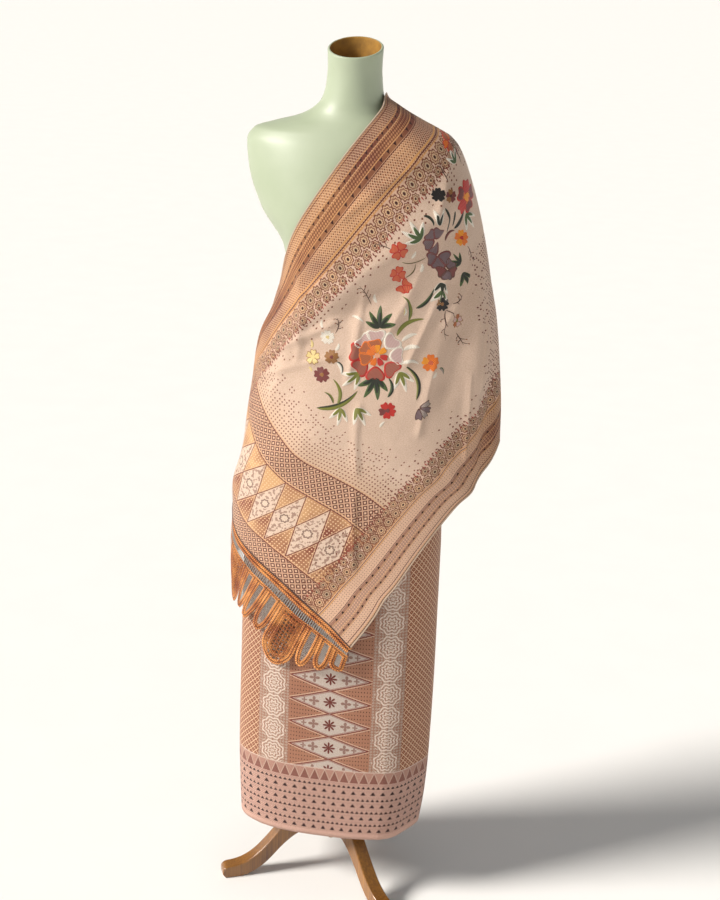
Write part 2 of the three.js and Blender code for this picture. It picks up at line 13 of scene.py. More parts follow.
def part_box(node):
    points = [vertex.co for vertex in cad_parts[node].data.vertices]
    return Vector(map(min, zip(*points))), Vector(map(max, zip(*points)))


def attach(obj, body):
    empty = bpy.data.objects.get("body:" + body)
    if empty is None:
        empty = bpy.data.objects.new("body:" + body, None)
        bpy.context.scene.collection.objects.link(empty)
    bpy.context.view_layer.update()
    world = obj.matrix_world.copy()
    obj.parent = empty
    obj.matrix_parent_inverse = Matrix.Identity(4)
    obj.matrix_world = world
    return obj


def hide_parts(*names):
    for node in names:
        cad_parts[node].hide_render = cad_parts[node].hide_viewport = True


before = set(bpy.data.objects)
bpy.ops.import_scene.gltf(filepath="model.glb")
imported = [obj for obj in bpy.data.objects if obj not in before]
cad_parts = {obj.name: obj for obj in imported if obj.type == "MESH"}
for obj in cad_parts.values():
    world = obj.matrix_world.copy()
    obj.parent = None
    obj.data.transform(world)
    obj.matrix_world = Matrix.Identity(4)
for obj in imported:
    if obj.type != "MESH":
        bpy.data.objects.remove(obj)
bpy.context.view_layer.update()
post_low, post_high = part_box("pole")
POST = np.array([(post_low[0] + post_high[0]) / 2, (post_low[1] + post_high[1]) / 2, 0.0])

# %% [markdown]
# ## The camera, the floor and the light
# The set is seen from the front and a little to its left, from just above its head, with a long lens.
# The floor is a pale sheet that runs far past the edge of the view. One soft, slightly warm key light from
# the upper left gives the folds their shading, and a weak fill and the pale sky keep the shadows open.

# %% The camera
CAMERA_AZIMUTH, CAMERA_PITCH, CAMERA_ROLL = np.radians([9.3, 19.85, 2.05])
CAMERA_AT = np.array([0.4515, -2.5605, 1.85]) + POST
LENS = 58.96

forward = np.array([
    -np.sin(CAMERA_AZIMUTH) * np.cos(CAMERA_PITCH),
    np.cos(CAMERA_AZIMUTH) * np.cos(CAMERA_PITCH),
    -np.sin(CAMERA_PITCH),
])
level = np.array([np.cos(CAMERA_AZIMUTH), np.sin(CAMERA_AZIMUTH), 0.0])
upward = np.cross(level, forward)
right = level * np.cos(CAMERA_ROLL) + upward * np.sin(CAMERA_ROLL)
up = upward * np.cos(CAMERA_ROLL) - level * np.sin(CAMERA_ROLL)

camera = bpy.data.objects.new("camera", bpy.data.cameras.new("camera"))
camera.data.lens = LENS
camera.data.clip_end = 300
axes = np.column_stack([right, up, -forward])
camera.matrix_world = Matrix.Translation(Vector(CAMERA_AT)) @ Matrix(axes.tolist()).to_4x4()
bpy.context.scene.collection.objects.link(camera)
bpy.context.scene.camera = camera
print("camera at", CAMERA_AT.round(3))


# %% Colours and nodes
def linear(colour):
    """A hex sRGB colour as linear light and alpha: c / 12.92 low down, else ((c + 0.055) / 1.055)^2.4."""
    channels = np.array([int(colour[i : i + 2], 16) for i in (1, 3, 5)]) / 255
    light = np.where(channels <= 0.04045, channels / 12.92, ((channels + 0.055) / 1.055) ** 2.4)
    return (*light.tolist(), 1.0)


def start(name):
    """Starts a material without nodes: the nodes added next go into it."""
    global tree_of
    made = bpy.data.materials.new(name)
    made.use_nodes = True
    tree_of = made.node_tree
    tree_of.nodes.clear()
    return made


def add(kind, *inputs, out=0, sockets=None, **settings):
    """Adds one node to the newest material and returns an output of it. Capitals name a sum of a Math node.

    inputs go to the node's sockets in order and sockets to those it names: an output is linked, and a hex
    colour or a number is set. settings go on the node itself.
    """
    node = tree_of.nodes.new("ShaderNodeMath" if kind.isupper() else "ShaderNode" + kind)
    if kind.isupper():
        node.operation = kind
    for name, value in settings.items():
        setattr(node, name, value)
    named = [(node.inputs[key], value) for key, value in (sockets or {}).items()]
    for socket, value in [*zip(node.inputs, inputs), *named]:
        if isinstance(value, bpy.types.NodeSocket):
            tree_of.links.new(value, socket)
        elif value is not None:
            socket.default_value = linear(value) if isinstance(value, str) else value
    return node.outputs[out] if node.outputs else node


def finish_surface(colour, roughness, height, depth_mm, **more):
    """Ends a material: a Principled surface of a colour and roughness, bumped by a height in mm."""
    bump = add("Bump", 1.0, depth_mm / 1000, sockets={"Height": height})
    names = {key.replace("_", " ").title().replace("Ior", "IOR"): value for key, value in more.items()}
    surface = add(
        "BsdfPrincipled", sockets={"Base Color": colour, "Roughness": roughness, "Normal": bump, **names}
    )
    add("OutputMaterial", surface)


print("#808080 is", round(linear("#808080")[0], 3), "in linear light")

# %% The floor and the lamps
FLOOR_HALF = 90.0
floor_corners = FLOOR_HALF * np.array([(-1, -1, 0), (1, -1, 0), (1, 1, 0), (-1, 1, 0)])
floor_mesh = bpy.data.meshes.new("floor")
floor_mesh.from_pydata(floor_corners.tolist(), [], [(0, 1, 2, 3)])
floor = bpy.data.objects.new("floor", floor_mesh)
bpy.context.scene.collection.objects.link(floor)
floor_mesh.materials.append(start("matt_white_floor"))
grain = add("TexNoise", sockets={"Vector": add("TexCoord", out=3), "Scale": 6.0})
finish_surface(add("MixRGB", grain, "#F4F3F1", "#F8F7F5"), 0.9, grain, 0.05)

world = bpy.data.worlds.new("pale_sky")
bpy.context.scene.world = world
world.use_nodes = True
tree_of = world.node_tree
tree_of.nodes.clear()
# bright at the horizon, so that the floor has no visible end, and darker overhead, so that folds keep shade
skyward = add("SeparateXYZ", add("TexCoord", out=0), out=2)
add("OutputWorld", add("Background", "#FFFEFC", add("MapRange", skyward, 0.12, 0.36, 1.0, 0.24)))


def lamp(name, kind, place, aim, energy, colour, **more):
    """A lamp turned from its place towards its aim; more sets its size or the angle it is seen under."""
    data = bpy.data.lights.new(name, kind)
    data.energy, data.color = energy, linear(colour)[:3]
    for key, value in more.items():
        setattr(data, key, value)
    made = bpy.data.objects.new(name, data)
    made.location = place
    made.rotation_euler = (Vector(aim) - Vector(place)).to_track_quat("-Z", "Y").to_euler()
    bpy.context.scene.collection.objects.link(made)


lamp("key", "SUN", (-2.8, -1.3, 3.1), (0, 0, 1.1), 4.9, "#FFFAF3", angle=np.radians(17))
lamp("fill", "AREA", (1.4, -3.0, 1.6), (0, 0, 0.9), 4, "#EEF3FF", size=2.2)
bpy.context.scene.view_settings.view_transform = "Standard"

# %% [markdown]
# ## Sections, and the shapes they carry
# Form, skirt and shawl are all described by level sections: how far each reaches to the wearer's right, left,
# front and back at a height. The tables below are the same as the solids', so every piece lies on its solid.
# Between two rows a smooth curve runs that never swings past them, which keeps cloth from bulging.

# %% The section tables, in mm: height, right, left, front, back
FORM_SECTIONS = np.array([
    [900, 160, 160, 106, 109], [1000, 154, 154, 103, 108], [1060, 141, 141, 97, 101],
    [1120, 119, 119, 91, 91], [1190, 104, 104, 92, 84], [1250, 108, 108, 116, 87], [1300, 117, 119, 128, 93],
    [1366, 160, 152, 123, 98], [1436, 184, 172, 106, 92], [1479, 188, 172, 90, 80], [1500, 175, 157, 78, 72],
    [1512, 140, 138, 70, 66], [1524, 98, 99, 62, 62], [1537, 73, 68, 56, 57], [1555, 56, 54, 52, 54],
    [1580, 49, 49, 49, 50], [1610, 47, 47, 47, 47], [1640, 48, 48, 48, 48],
], float)
SKIRT_SECTIONS = np.array([
    [140, 187, 177, 118, 120], [210, 190, 185, 118, 120], [290, 192, 189, 118, 120],
    [500, 189, 192, 118, 119], [730, 184, 192, 118, 117], [880, 177, 184, 117, 116],
    [960, 171, 173, 114, 116], [1040, 155, 158, 108, 110], [1110, 131, 132, 99, 100],
    [1150, 118, 118, 97, 94], [1190, 106.6, 106.6, 94.6, 86.6],
], float)
DRAPE_SECTIONS = np.array([
    [420, 214, 262, 139, 137], [700, 212, 280, 139, 138], [802, 208, 290, 138, 138],
    [904, 191, 292, 137, 137], [1003, 179, 290, 133, 134], [1109, 159, 281, 127, 127],
    [1190, 134, 270, 124, 116], [1250, 122, 257, 127, 111], [1300, 128, 247, 136, 111],
    [1370, 160, 230, 137, 112], [1440, 186, 207, 117, 108], [1480, 184, 189, 104, 98],
    [1500, 174, 172, 92, 92], [1512, 152, 150, 83, 84], [1524, 118, 124, 75, 78], [1545, 74, 84, 64, 68],
    [1565, 58, 57, 58, 60], [1600, 54, 54, 56, 56],
], float)


def column_at(table, column, at):
    """A smooth value from a table's column: a cubic between rows, whose slope at a row is the harmonic mean
    of the slopes on either side, or nothing where those differ in sign.
    """
    x, y = table[:, 0], table[:, column]
    slope = np.diff(y) / np.diff(x)
    product, total = slope[:-1] * slope[1:], slope[:-1] + slope[1:]
    inner = np.where(product > 0, 2 * product / np.where(product > 0, total, 1), 0)
    tangent = np.concatenate([slope[:1], inner, slope[-1:]])
    at = np.clip(at, x[0], x[-1])
    i = np.clip(np.searchsorted(x, at) - 1, 0, len(x) - 2)
    span = x[i + 1] - x[i]
    t = (at - x[i]) / span
    t2, t3 = t * t, t * t * t
    ends = (2 * t3 - 3 * t2 + 1) * y[i] + (3 * t2 - 2 * t3) * y[i + 1]
    return ends + span * ((t3 - 2 * t2 + t) * tangent[i] + (t3 - t2) * tangent[i + 1])


def on_section(table, z, angle, squareness=1.0):
    """x and y of a level section at an angle from the front towards +X: half size times sine or cosine to
    the power squareness, with its own half size each way.
    """
    s, c = np.sin(angle), np.cos(angle)
    reach_x = np.where(s > 0, column_at(table, 2, z), column_at(table, 1, z))
    reach_y = np.where(c > 0, column_at(table, 3, z), column_at(table, 4, z))
    x = reach_x * np.sign(s) * np.abs(s) ** squareness
    return x, -reach_y * np.sign(c) * np.abs(c) ** squareness


def smooth(t):
    """0 below 0, 1 above 1, and 3t^2 - 2t^3 between."""
    t = np.clip(t, 0, 1)
    return t * t * (3 - 2 * t)


print("the skirt is", 2 * column_at(SKIRT_SECTIONS, 1, 500).round(), "mm wide half way down")


# %% From points to a piece
def make_piece(name, points, faces, uv=None, colours=None, *, material, slot, replaces=()):
    """Puts points in mm round the post, with their faces, into a mesh in the frame, and rides it on the body.

    uv and colours have one row for each point, and go to the mesh's corners and points.
    """
    mesh = bpy.data.meshes.new(name)
    faces = faces if isinstance(faces, list) else faces.tolist()
    mesh.from_pydata((points / 1000 + POST).tolist(), [], faces)
    mesh.shade_smooth()
    if uv is not None:
        corners = np.empty(len(mesh.loops), int)
        mesh.loops.foreach_get("vertex_index", corners)
        mesh.uv_layers.new(name="cloth_mm").data.foreach_set("uv", uv[corners].astype("f").ravel())
    if colours is not None:
        layer = mesh.color_attributes.new("thread", "FLOAT_COLOR", "POINT")
        layer.data.foreach_set("color", colours.astype("f").ravel())
    mesh.materials.append(material)
    piece = bpy.data.objects.new(name, mesh)
    bpy.context.scene.collection.objects.link(piece)
    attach(piece, "root")
    if replaces:
        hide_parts(*replaces)
    print(name, "has", len(mesh.vertices), "points and", len(mesh.polygons), "faces")
    return piece


def point_value(piece, name, values):
    """Gives every point of a piece a number that its material can read."""
    layer = piece.data.attributes.new(name, "FLOAT", "POINT")
    layer.data.foreach_set("value", values.astype("f").ravel())


def grid_faces(rows, columns, closed=False):
    """The four corners of every cell of a grid of points, row by row.

    A closed grid joins its last column to its first.
    """
    row, column = np.mgrid[: rows - 1, : columns if closed else columns - 1]
    first, after = row * columns, (column + 1) % columns
    cells = [first + column, first + after, first + columns + after, first + columns + column]
    return np.stack(cells, -1).reshape(-1, 4)


def thicken(piece, thickness_mm):
    """Gives a one-sided cloth its thickness, inwards."""
    wall = piece.modifiers.new("wall", "SOLIDIFY")
    wall.thickness, wall.offset = thickness_mm / 1000, -1.0


def lengths_along(points, axis):
    """How far each point of a grid lies from the first along an axis: the running sum of the steps."""
    steps = np.linalg.norm(np.diff(points, axis=axis), axis=-1)
    start = np.zeros_like(np.take(steps, [0], axis=axis))
    return np.concatenate([start, np.cumsum(steps, axis=axis)], axis=axis)


# %% [markdown]
# ## The dress form
# A real form is blow-moulded or laid up in a mould: one hollow shell about 5 mm thick, painted and satin
# smooth, with the neck left open so that it can be hung from a peg. It could be sculpted, but a form has no
# detail except its sections, so one closed grid runs up the outside, rolls over the neck's rim and goes down
# inside again.

# %% The shell
SHELL_WALL = 5.0
SHELL_BOTTOM, NECK_RIM = 909.3, 1640.0
NECK_TILT_START = 1560.0
NECK_TILT = np.tan(np.radians(16.5))


def form_surface(angle, height):
    """A point of the form: its section at a height, raised with y near the neck's rim so that it leans."""
    x, y = on_section(FORM_SECTIONS, height, angle)
    lean = smooth((height - NECK_TILT_START) / (NECK_RIM - NECK_TILT_START))
    return np.stack([x, y, height + y * NECK_TILT * lean], -1)


def grid_normals(points):
    """The outward normals of a closed grid of points: the cross product of its steps either way."""
    down = np.gradient(points, axis=0)
    normal = np.cross(np.roll(points, -1, 1) - np.roll(points, 1, 1), down)
    normal /= np.linalg.norm(normal, axis=-1, keepdims=True)
    outward = (normal[..., :2] * points[..., :2]).sum()
    return normal * np.sign(outward)


heights = np.concatenate([np.linspace(SHELL_BOTTOM, 1480, 70), np.linspace(1484, NECK_RIM, 60)])
turns = np.linspace(0, 2 * np.pi, 161)[:-1]
outer = form_surface(turns[None, :], heights[:, None])
normals = grid_normals(outer)
rim_turn = np.linspace(0, np.pi, 9)[1:-1, None, None]
inner = outer - SHELL_WALL * normals
rim = (outer[-1] + inner[-1]) / 2 + SHELL_WALL / 2 * (
    np.cos(rim_turn) * normals[-1] + np.sin(rim_turn) * np.array([0, 0, 1.0])
)
shell_points = np.concatenate([outer, rim, inner[::-1]])
shell_faces = grid_faces(len(shell_points), len(turns), closed=True)
last = (len(shell_points) - 1) * len(turns)
ring = np.arange(len(turns))
bottom = np.stack([last + ring, last + (ring + 1) % len(turns), (ring + 1) % len(turns), ring], -1)
shell_faces = np.concatenate([shell_faces, bottom])
print("the shell has", len(shell_faces), "faces in", len(shell_points), "rings")

# %% [markdown]
# The outside is painted a pale grey green. The inside of the neck was never finished: it shows the brown,
# rust-stained raw moulding. A value on each point tells the two apart.

# %% Its paint: satin enamel sprayed on a moulded shell, which gives a soft, even highlight
form_paint = start("sprayed_satin_enamel")
object_place = add("TexCoord", out=3)
mottle = add("TexNoise", sockets={"Vector": object_place, "Scale": 14.0, "Detail": 6.0})
stain = add("TexNoise", sockets={"Vector": object_place, "Scale": 45.0, "Detail": 8.0, "Roughness": 0.7})
paint = add("MixRGB", mottle, "#A8B199", "#98A388")
paint = add("MixRGB", add("GREATER_THAN", stain, 0.69), paint, "#929C7C")
rust = add("MixRGB", add("MULTIPLY", stain, 1.2), "#3A2414", "#B5842F")
inside = add("Attribute", out=2, attribute_name="inside")
orange_peel = add("TexNoise", sockets={"Vector": object_place, "Scale": 420.0})
finish_surface(
    add("MixRGB", inside, paint, rust),
    add("MULTIPLY_ADD", inside, 0.35, 0.46),
    orange_peel, 0.12, specular_ior_level=0.5, coat_weight=0.06, coat_roughness=0.3,
)
form_skin = make_piece(
    "form_skin", shell_points.reshape(-1, 3), shell_faces, material=form_paint, slot="moulded_shell",
    replaces=["form_shell"],
)
RIM_PAINTED = 5  # how many of the rim's rows of points the paint covers
within = np.zeros(shell_points.shape[:2])
within[len(heights) + RIM_PAINTED :] = 1
point_value(form_skin, "inside", within)

# %% [markdown]
# ## The stand
# The post, the hub and the three sabre legs are turned and sawn hardwood under a warm, glossy varnish. The
# post and hub of the model are already right and only need their finish. A leg's arrises are eased by hand,
# so it is cut again from the same curves with its edges rounded.

# %% The wood: varnished beech stained orange brown, so a grain shows through a gloss coat
GRAIN_WIDTH = 0.0035


def wood(name, pale, dark, coat):
    """Long streaks along the piece: noise on a place squeezed across the grain, mixed from pale to dark."""
    made = start(name)
    place = add("Mapping", add("TexCoord", out=3), sockets={"Scale": (1 / GRAIN_WIDTH, 1 / GRAIN_WIDTH, 6.0)})
    streak = add("TexNoise", sockets={"Vector": place, "Scale": 1.0, "Detail": 5.0, "Distortion": 0.6})
    wide = add("TexNoise", sockets={"Vector": add("TexCoord", out=3), "Scale": 9.0})
    tone = add("MULTIPLY_ADD", add("ADD", streak, wide), 1.1, -0.6, use_clamp=True)
    finish_surface(add("MixRGB", tone, dark, pale), 0.42, streak, 0.15, coat_weight=coat, coat_roughness=0.16)
    return made


varnished = wood("varnished_beech", "#A06A1C", "#4C2408", 0.8)
plain_board = wood("plain_poplar_board", "#B79263", "#8E6A40", 0.0)
for node, finish in (("pole", varnished), ("hub", varnished), ("form_base", plain_board)):
    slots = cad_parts[node].data.materials
    slots.clear()
    slots.append(finish)
print("wood on the post, the hub and the form's base")

# %% The legs
HUB_RADIUS, HUB_TOP, HUB_BOTTOM = 25.3, 176.0, 84.0
LEG_REACH, LEG_THICKNESS, FOOT_LENGTH = 228.0, 28.0, 40.0
LEG_HEADINGS = {"leg_front_right": -47, "leg_back_right": 78, "leg_left": 205}


def bezier(*corners, steps=14):
    """Points of a Bezier curve but not its first: each corner weighted by its share of (1 - t + t)^n."""
    t = np.linspace(0, 1, steps + 1)[1:, None]
    corners = [np.array(c, float) for c in corners]
    while len(corners) > 1:
        corners = [a * (1 - t) + b * t for a, b in zip(corners, corners[1:])]
    return corners[0]


outline = np.concatenate([
    [[HUB_RADIUS, HUB_TOP - 14]],
    bezier(
        (HUB_RADIUS, HUB_TOP - 14), (HUB_RADIUS + 48, HUB_TOP - 8), (HUB_RADIUS + 82, 96),
        (LEG_REACH - 74, 52),
    ),
    bezier((LEG_REACH - 74, 52), (LEG_REACH - 50, 30), (LEG_REACH - 30, 27), (LEG_REACH - 12, 26)),
    bezier((LEG_REACH - 12, 26), (LEG_REACH + 2, 24), (LEG_REACH, 8), steps=6),
    [[LEG_REACH - 5, 0], [LEG_REACH - FOOT_LENGTH, 0]],
    bezier((LEG_REACH - FOOT_LENGTH, 0), (LEG_REACH - 70, 6), (LEG_REACH - 92, 26), (LEG_REACH - 112, 50)),
    bezier(
        (LEG_REACH - 112, 50), (HUB_RADIUS + 52, 92), (HUB_RADIUS + 30, 98), (HUB_RADIUS, HUB_BOTTOM + 10),
    ),
])
for node, heading in LEG_HEADINGS.items():
    turn = np.radians(heading)
    out = np.array([np.cos(turn), np.sin(turn), 0])
    aside = np.array([-np.sin(turn), np.cos(turn), 0])
    spine = outline[:, :1] * out + outline[:, 1:] * np.array([0, 0, 1.0])
    sides = np.concatenate([spine - aside * LEG_THICKNESS / 2, spine + aside * LEG_THICKNESS / 2])
    count = len(spine)
    edge = np.arange(count)
    band = np.stack([edge, edge + count, (edge + 1) % count + count, (edge + 1) % count], -1)
    leg_faces = [edge.tolist(), (edge[::-1] + count).tolist(), *band.tolist()]
    leg = make_piece(f"sabre_{node}", sides, leg_faces, material=varnished, slot="dark_wood", replaces=[node])
    eased = leg.modifiers.new("eased_edges", "BEVEL")
    eased.width, eased.segments, eased.limit_method, eased.angle_limit = 0.003, 3, "ANGLE", np.radians(50)
    eased.harden_normals = True

# %% [markdown]
# ## How the shawl lies
# The shawl is one straight length, 65 cm wide. It crosses the chest, goes over the arm side and down the
# back. Its place is worked out as if the drape's sections were unrolled: an arc from the centre line and a
# height give a point. A table of angles against arcs, one row for each height, turns one into the other.

# %% The unrolled drape
FINE_STEP = 3.0
FINE_HEIGHTS = np.arange(400, 1622, FINE_STEP)
FINE_ARCS = np.arange(-640, 1520, FINE_STEP)
DEGREES = np.arange(-230, 401)
ring_x, ring_y = on_section(DRAPE_SECTIONS, FINE_HEIGHTS[:, None], np.radians(DEGREES)[None, :])
ring_arcs = lengths_along(np.stack([ring_x, ring_y], -1), 1)
ring_arcs -= ring_arcs[:, DEGREES == 0]
ANGLES = np.stack([np.interp(FINE_ARCS, row, np.radians(DEGREES)) for row in ring_arcs])
BACK_ARC = ring_arcs[:, DEGREES == 180][:, 0]
SIDE_ARC = ring_arcs[:, DEGREES == 90][:, 0]


def bilinear(table, row, column):
    """The table's value between four neighbours, weighted by how near each is."""
    i = np.clip(row.astype(int), 0, table.shape[0] - 2)
    j = np.clip(column.astype(int), 0, table.shape[1] - 2)
    r, c = np.clip(row - i, 0, 1), np.clip(column - j, 0, 1)
    upper = table[i, j] * (1 - c) + table[i, j + 1] * c
    lower = table[i + 1, j] * (1 - c) + table[i + 1, j + 1] * c
    return upper * (1 - r) + lower * r


def drape_point(arc, z, from_back, out):
    """The point at an arc from the centre line and a height, moved outwards along its own radius."""
    arc, z, out = np.broadcast_arrays(np.asarray(arc, float), np.asarray(z, float), np.asarray(out, float))
    walked = np.interp(z, FINE_HEIGHTS, BACK_ARC) - arc if from_back else arc
    angle = bilinear(ANGLES, (z - FINE_HEIGHTS[0]) / FINE_STEP, (walked - FINE_ARCS[0]) / FINE_STEP)
    x, y = on_section(DRAPE_SECTIONS, z, angle)
    grow = 1 + out / np.hypot(x, y)
    return np.stack([x * grow, y * grow, z], -1)


def side_arc(z, from_back):
    """How far the arm side is from the centre line, along the section."""
    side = np.interp(z, FINE_HEIGHTS, SIDE_ARC)
    return np.interp(z, FINE_HEIGHTS, BACK_ARC) - side if from_back else side


print("at 1190 mm the arm side is", side_arc(1190, False).round(), "mm from the front centre line")

# %% The shawl's lines and folds
SHAWL_WIDTH = 650.0
RIDGE_ROUNDING, LAYER_INSET = 22.0, 8.0
# share across, then arc, height and bow of the front end, the height at the arm side, and the same three of
# the back end, in mm
SHAWL_LINES = np.array([
    [0, 50, 570, 30, 956, 20, 500, 18], [0.1, 5, 617, 26, 1025, -14, 560, 16],
    [0.2, -44, 656, 20, 1093, -48, 618, 12], [0.3, -97, 693, 14, 1162, -84, 674, 8],
    [0.4, -156, 723, 8, 1231, -121, 727, 4], [0.5, -212, 748, 0, 1300, -158, 780, 0],
    [0.6, -262, 784, -6, 1367, -195, 832, -4], [0.75, -338, 836, -12, 1462, -246, 915, -10],
    [0.9, -398, 893, -36, 1530, -292, 998, -22], [1, -432, 934, -50, 1568, -318, 1056, -30],
], float)
STRETCH = 700.0  # mm that a fold's share along stands for
# from along, across to along, across; half width and height in mm
FRONT_FOLDS = [
    (0.9, 0.72, 0.5, 0.83, 26, 7), (0.9, 0.65, 0.62, 0.72, 22, -6), (0.5, 0.8, 0.36, 0.72, 20, 6),
    (0.98, 0.6, 0.74, 0.34, 24, -9), (0.9, 0.45, 0.8, 0.22, 22, 8), (0.99, 0.3, 0.82, 0.06, 26, -7),
    (0.7, 0.0, 0.55, 0.16, 24, 6), (0.2, 0.02, 0.06, 0.2, 26, -6), (0.4, 0.95, 0.2, 0.9, 26, 7),
    (0.3, 0.55, 0.05, 0.66, 34, 6),
]
BACK_FOLDS = [
    (0.95, 0.8, 0.5, 0.9, 26, 6), (0.96, 0.62, 0.6, 0.5, 28, -6), (0.9, 0.42, 0.45, 0.3, 30, 8),
    (0.97, 0.25, 0.7, 0.08, 26, -6), (0.5, 0.05, 0.2, 0.2, 30, 7),
]
# creases too small for the solid, which only ever stand proud of it
FRONT_CREASES = [
    (0.36, 0.85, 0.56, 0.74, 8, 4), (0.34, 0.8, 0.52, 0.67, 7, 3.4), (0.4, 0.91, 0.62, 0.85, 8, 3.6),
    (0.86, 0.7, 0.66, 0.62, 7.6, 5.1), (0.82, 0.6, 0.66, 0.5, 6.8, 4.1), (0.92, 0.55, 0.78, 0.5, 7.6, 5.4),
    (0.66, 0.74, 0.52, 0.6, 6.8, 3.7), (0.93, 0.4, 0.84, 0.26, 7.6, 5.1), (0.8, 0.3, 0.72, 0.12, 7.6, 4.4),
    (0.6, 0.9, 0.46, 0.74, 6.8, 3.7), (0.5, 0.5, 0.4, 0.36, 8.5, 3.1), (0.96, 0.82, 0.86, 0.74, 6.8, 4.1),
    (0.34, 0.3, 0.2, 0.16, 8.5, 3.1), (0.72, 0.42, 0.6, 0.3, 7.6, 3.1), (0.9, 0.86, 0.76, 0.9, 6, 3.4),
]
BACK_CREASES = [
    (0.9, 0.7, 0.7, 0.6, 7.6, 4.4), (0.85, 0.5, 0.66, 0.42, 7.6, 4.1), (0.7, 0.8, 0.5, 0.66, 6.8, 3.4),
    (0.8, 0.2, 0.6, 0.14, 7.6, 3.4), (0.5, 0.5, 0.34, 0.4, 8.5, 3.1),
]

def fold_height(folds, t, v):
    """Sum of the folds: each a bell across a line, exp(-(aside / reach)^2), fading past the line's ends."""
    height = np.zeros(np.broadcast(t, v).shape)
    for along0, across0, along1, across1, reach, rise in folds:
        line = np.array([(along1 - along0) * STRETCH, (across1 - across0) * SHAWL_WIDTH])
        place = (t - along0) * STRETCH, (v - across0) * SHAWL_WIDTH
        length = np.hypot(*line)
        down = (place[0] * line[0] + place[1] * line[1]) / length
        aside = (place[0] * line[1] - place[1] * line[0]) / length
        overrun = np.maximum(0, np.abs(down - length / 2) - length / 2)
        height += rise * np.exp(-((overrun / (1.6 * reach)) ** 2) - (aside / reach) ** 2)
    return height


def shawl_place(from_back, t, v):
    """Arc, height and lift of the cloth at t along from its sewn end and v across from its lower edge.

    Each line across runs from its end to its peak at the arm side, along an eased straight line plus a bow.
    """
    first = 5 if from_back else 1
    end_arc, end_height, bow = (column_at(SHAWL_LINES, first + i, v) for i in range(3))
    side_height = column_at(SHAWL_LINES, 4, v)
    run = side_arc(side_height, from_back) - end_arc
    left = (1 - t) * run
    eased = np.hypot(left, RIDGE_ROUNDING) - RIDGE_ROUNDING
    eased_run = np.hypot(run, RIDGE_ROUNDING) - RIDGE_ROUNDING
    bowed = bow * (0.5 - 0.5 * np.cos(2 * np.pi * t))
    z = side_height + (end_height - side_height) * eased / eased_run + bowed
    hold = smooth((1 - t) / 0.12) * smooth((1.04 - v) / 0.1)
    folds = fold_height(BACK_FOLDS if from_back else FRONT_FOLDS, t, v)
    creases = fold_height(BACK_CREASES if from_back else FRONT_CREASES, t, v)
    inset = LAYER_INSET * smooth((1 - t) / 0.35) if from_back else 0
    return side_arc(side_height, from_back) - left, z, hold * (folds + creases) - inset


def shawl_surface(from_back, t, v):
    """The cloth's outer face: its place on the drape."""
    arc, z, out = shawl_place(from_back, t, v)
    return drape_point(arc, z, from_back, out)


print("a quarter in from the end, the cloth's middle is at", shawl_surface(False, 0.25, 0.5).round())

# %% [markdown]
# ## The shawl's cloth
# Cloth simulation could drape a flat length, but this one must lie exactly where its solid does, so a fine
# grid follows the same surface, with small creases that the solid leaves out. Its UV map is in real
# millimetres of cloth: along from the sewn end, and across from the lower long edge. The woven patterns
# read that map, so they follow every fold as real weaving does.

# %% Shader patterns: the tools for drawing a weave
def cloth_axes():
    """The cloth's own map, in mm: a place, and how far it is along the map's two directions."""
    place = add("UVMap", uv_map="cloth_mm")
    split = add("SeparateXYZ", place)
    return place, split, split.node.outputs[1]


def lattice(x, y, pitch_x, pitch_y):
    """Diamonds: 0 at the middle of one set, 2 at the middle of the other, 1 on the lines between them."""
    across = add("DIVIDE", add("PINGPONG", x, pitch_x / 2), pitch_x / 2)
    return add("ADD", across, add("DIVIDE", add("PINGPONG", y, pitch_y / 2), pitch_y / 2))


def triangles_on(x, y, foot, pitch, tall):
    """A row of small woven triangles: wide at the foot and pointed at foot + tall."""
    left = add("MULTIPLY", add("SUBTRACT", foot + tall, y), 0.7)
    inside = add("LESS_THAN", add("PINGPONG", x, pitch / 2), left)
    return add("MULTIPLY", inside, add("COMPARE", y, foot + tall / 2, tall / 2))


def random_cells(x, y, pitch_x, pitch_y):
    """One random value for each cell of a grid of that pitch."""
    cell_x = add("ROUND", add("DIVIDE", x, pitch_x))
    cell_y = add("ROUND", add("DIVIDE", y, pitch_y))
    return add("TexWhiteNoise", add("CombineXYZ", cell_x, cell_y), noise_dimensions="2D")


def lay_over(made, layers):
    """Lays colours over what is made so far, in turn: made times (1 - mask), plus colour times mask."""
    for mask, colour in layers:
        made = add("MixRGB", mask, made, colour)
    return made


def polar(dx, dy, rays):
    """From a motif's middle: the distance, and the cosine of so many times the angle, which makes rays."""
    radius = add("SQRT", add("ADD", add("MULTIPLY", dx, dx), add("MULTIPLY", dy, dy)))
    return radius, add("COSINE", add("MULTIPLY", add("ARCTAN2", dy, dx), rays))


def rosettes(x, y, row, pitch, size):
    """Eight-petalled wheels in a row: the distance from a wheel's middle over its edge's distance there."""
    radius, petals = polar(add("WRAP", x, pitch / 2, -pitch / 2), add("SUBTRACT", y, row), 4.0)
    return add("DIVIDE", radius, add("MULTIPLY_ADD", add("ABSOLUTE", petals), 0.24 * size, 0.76 * size))


def diamond_net(x, y, pitch):
    """Small diamonds one inside another: pale lines between the cells and a pale middle in a dark ring."""
    cell = lattice(x, y, pitch, pitch)
    ring = add("ABSOLUTE", add("SUBTRACT", cell, 1.0))
    return lay_over("#5E2C24", (
        (add("LESS_THAN", ring, 0.24), "#CFA88C"), (add("GREATER_THAN", ring, 0.62), "#E0BEA2"),
    ))


print("patterns are measured in mm of cloth")

# %% The woven zones of the shawl
# Mercerised cotton in a satin weave with supplementary weft: the long floats of the ground give a soft sheen
# across the threads, and the patterned borders lie a little proud and are duller.
THREAD = 0.55  # mm between threads, drawn half as coarse again as it is, so that it still shows


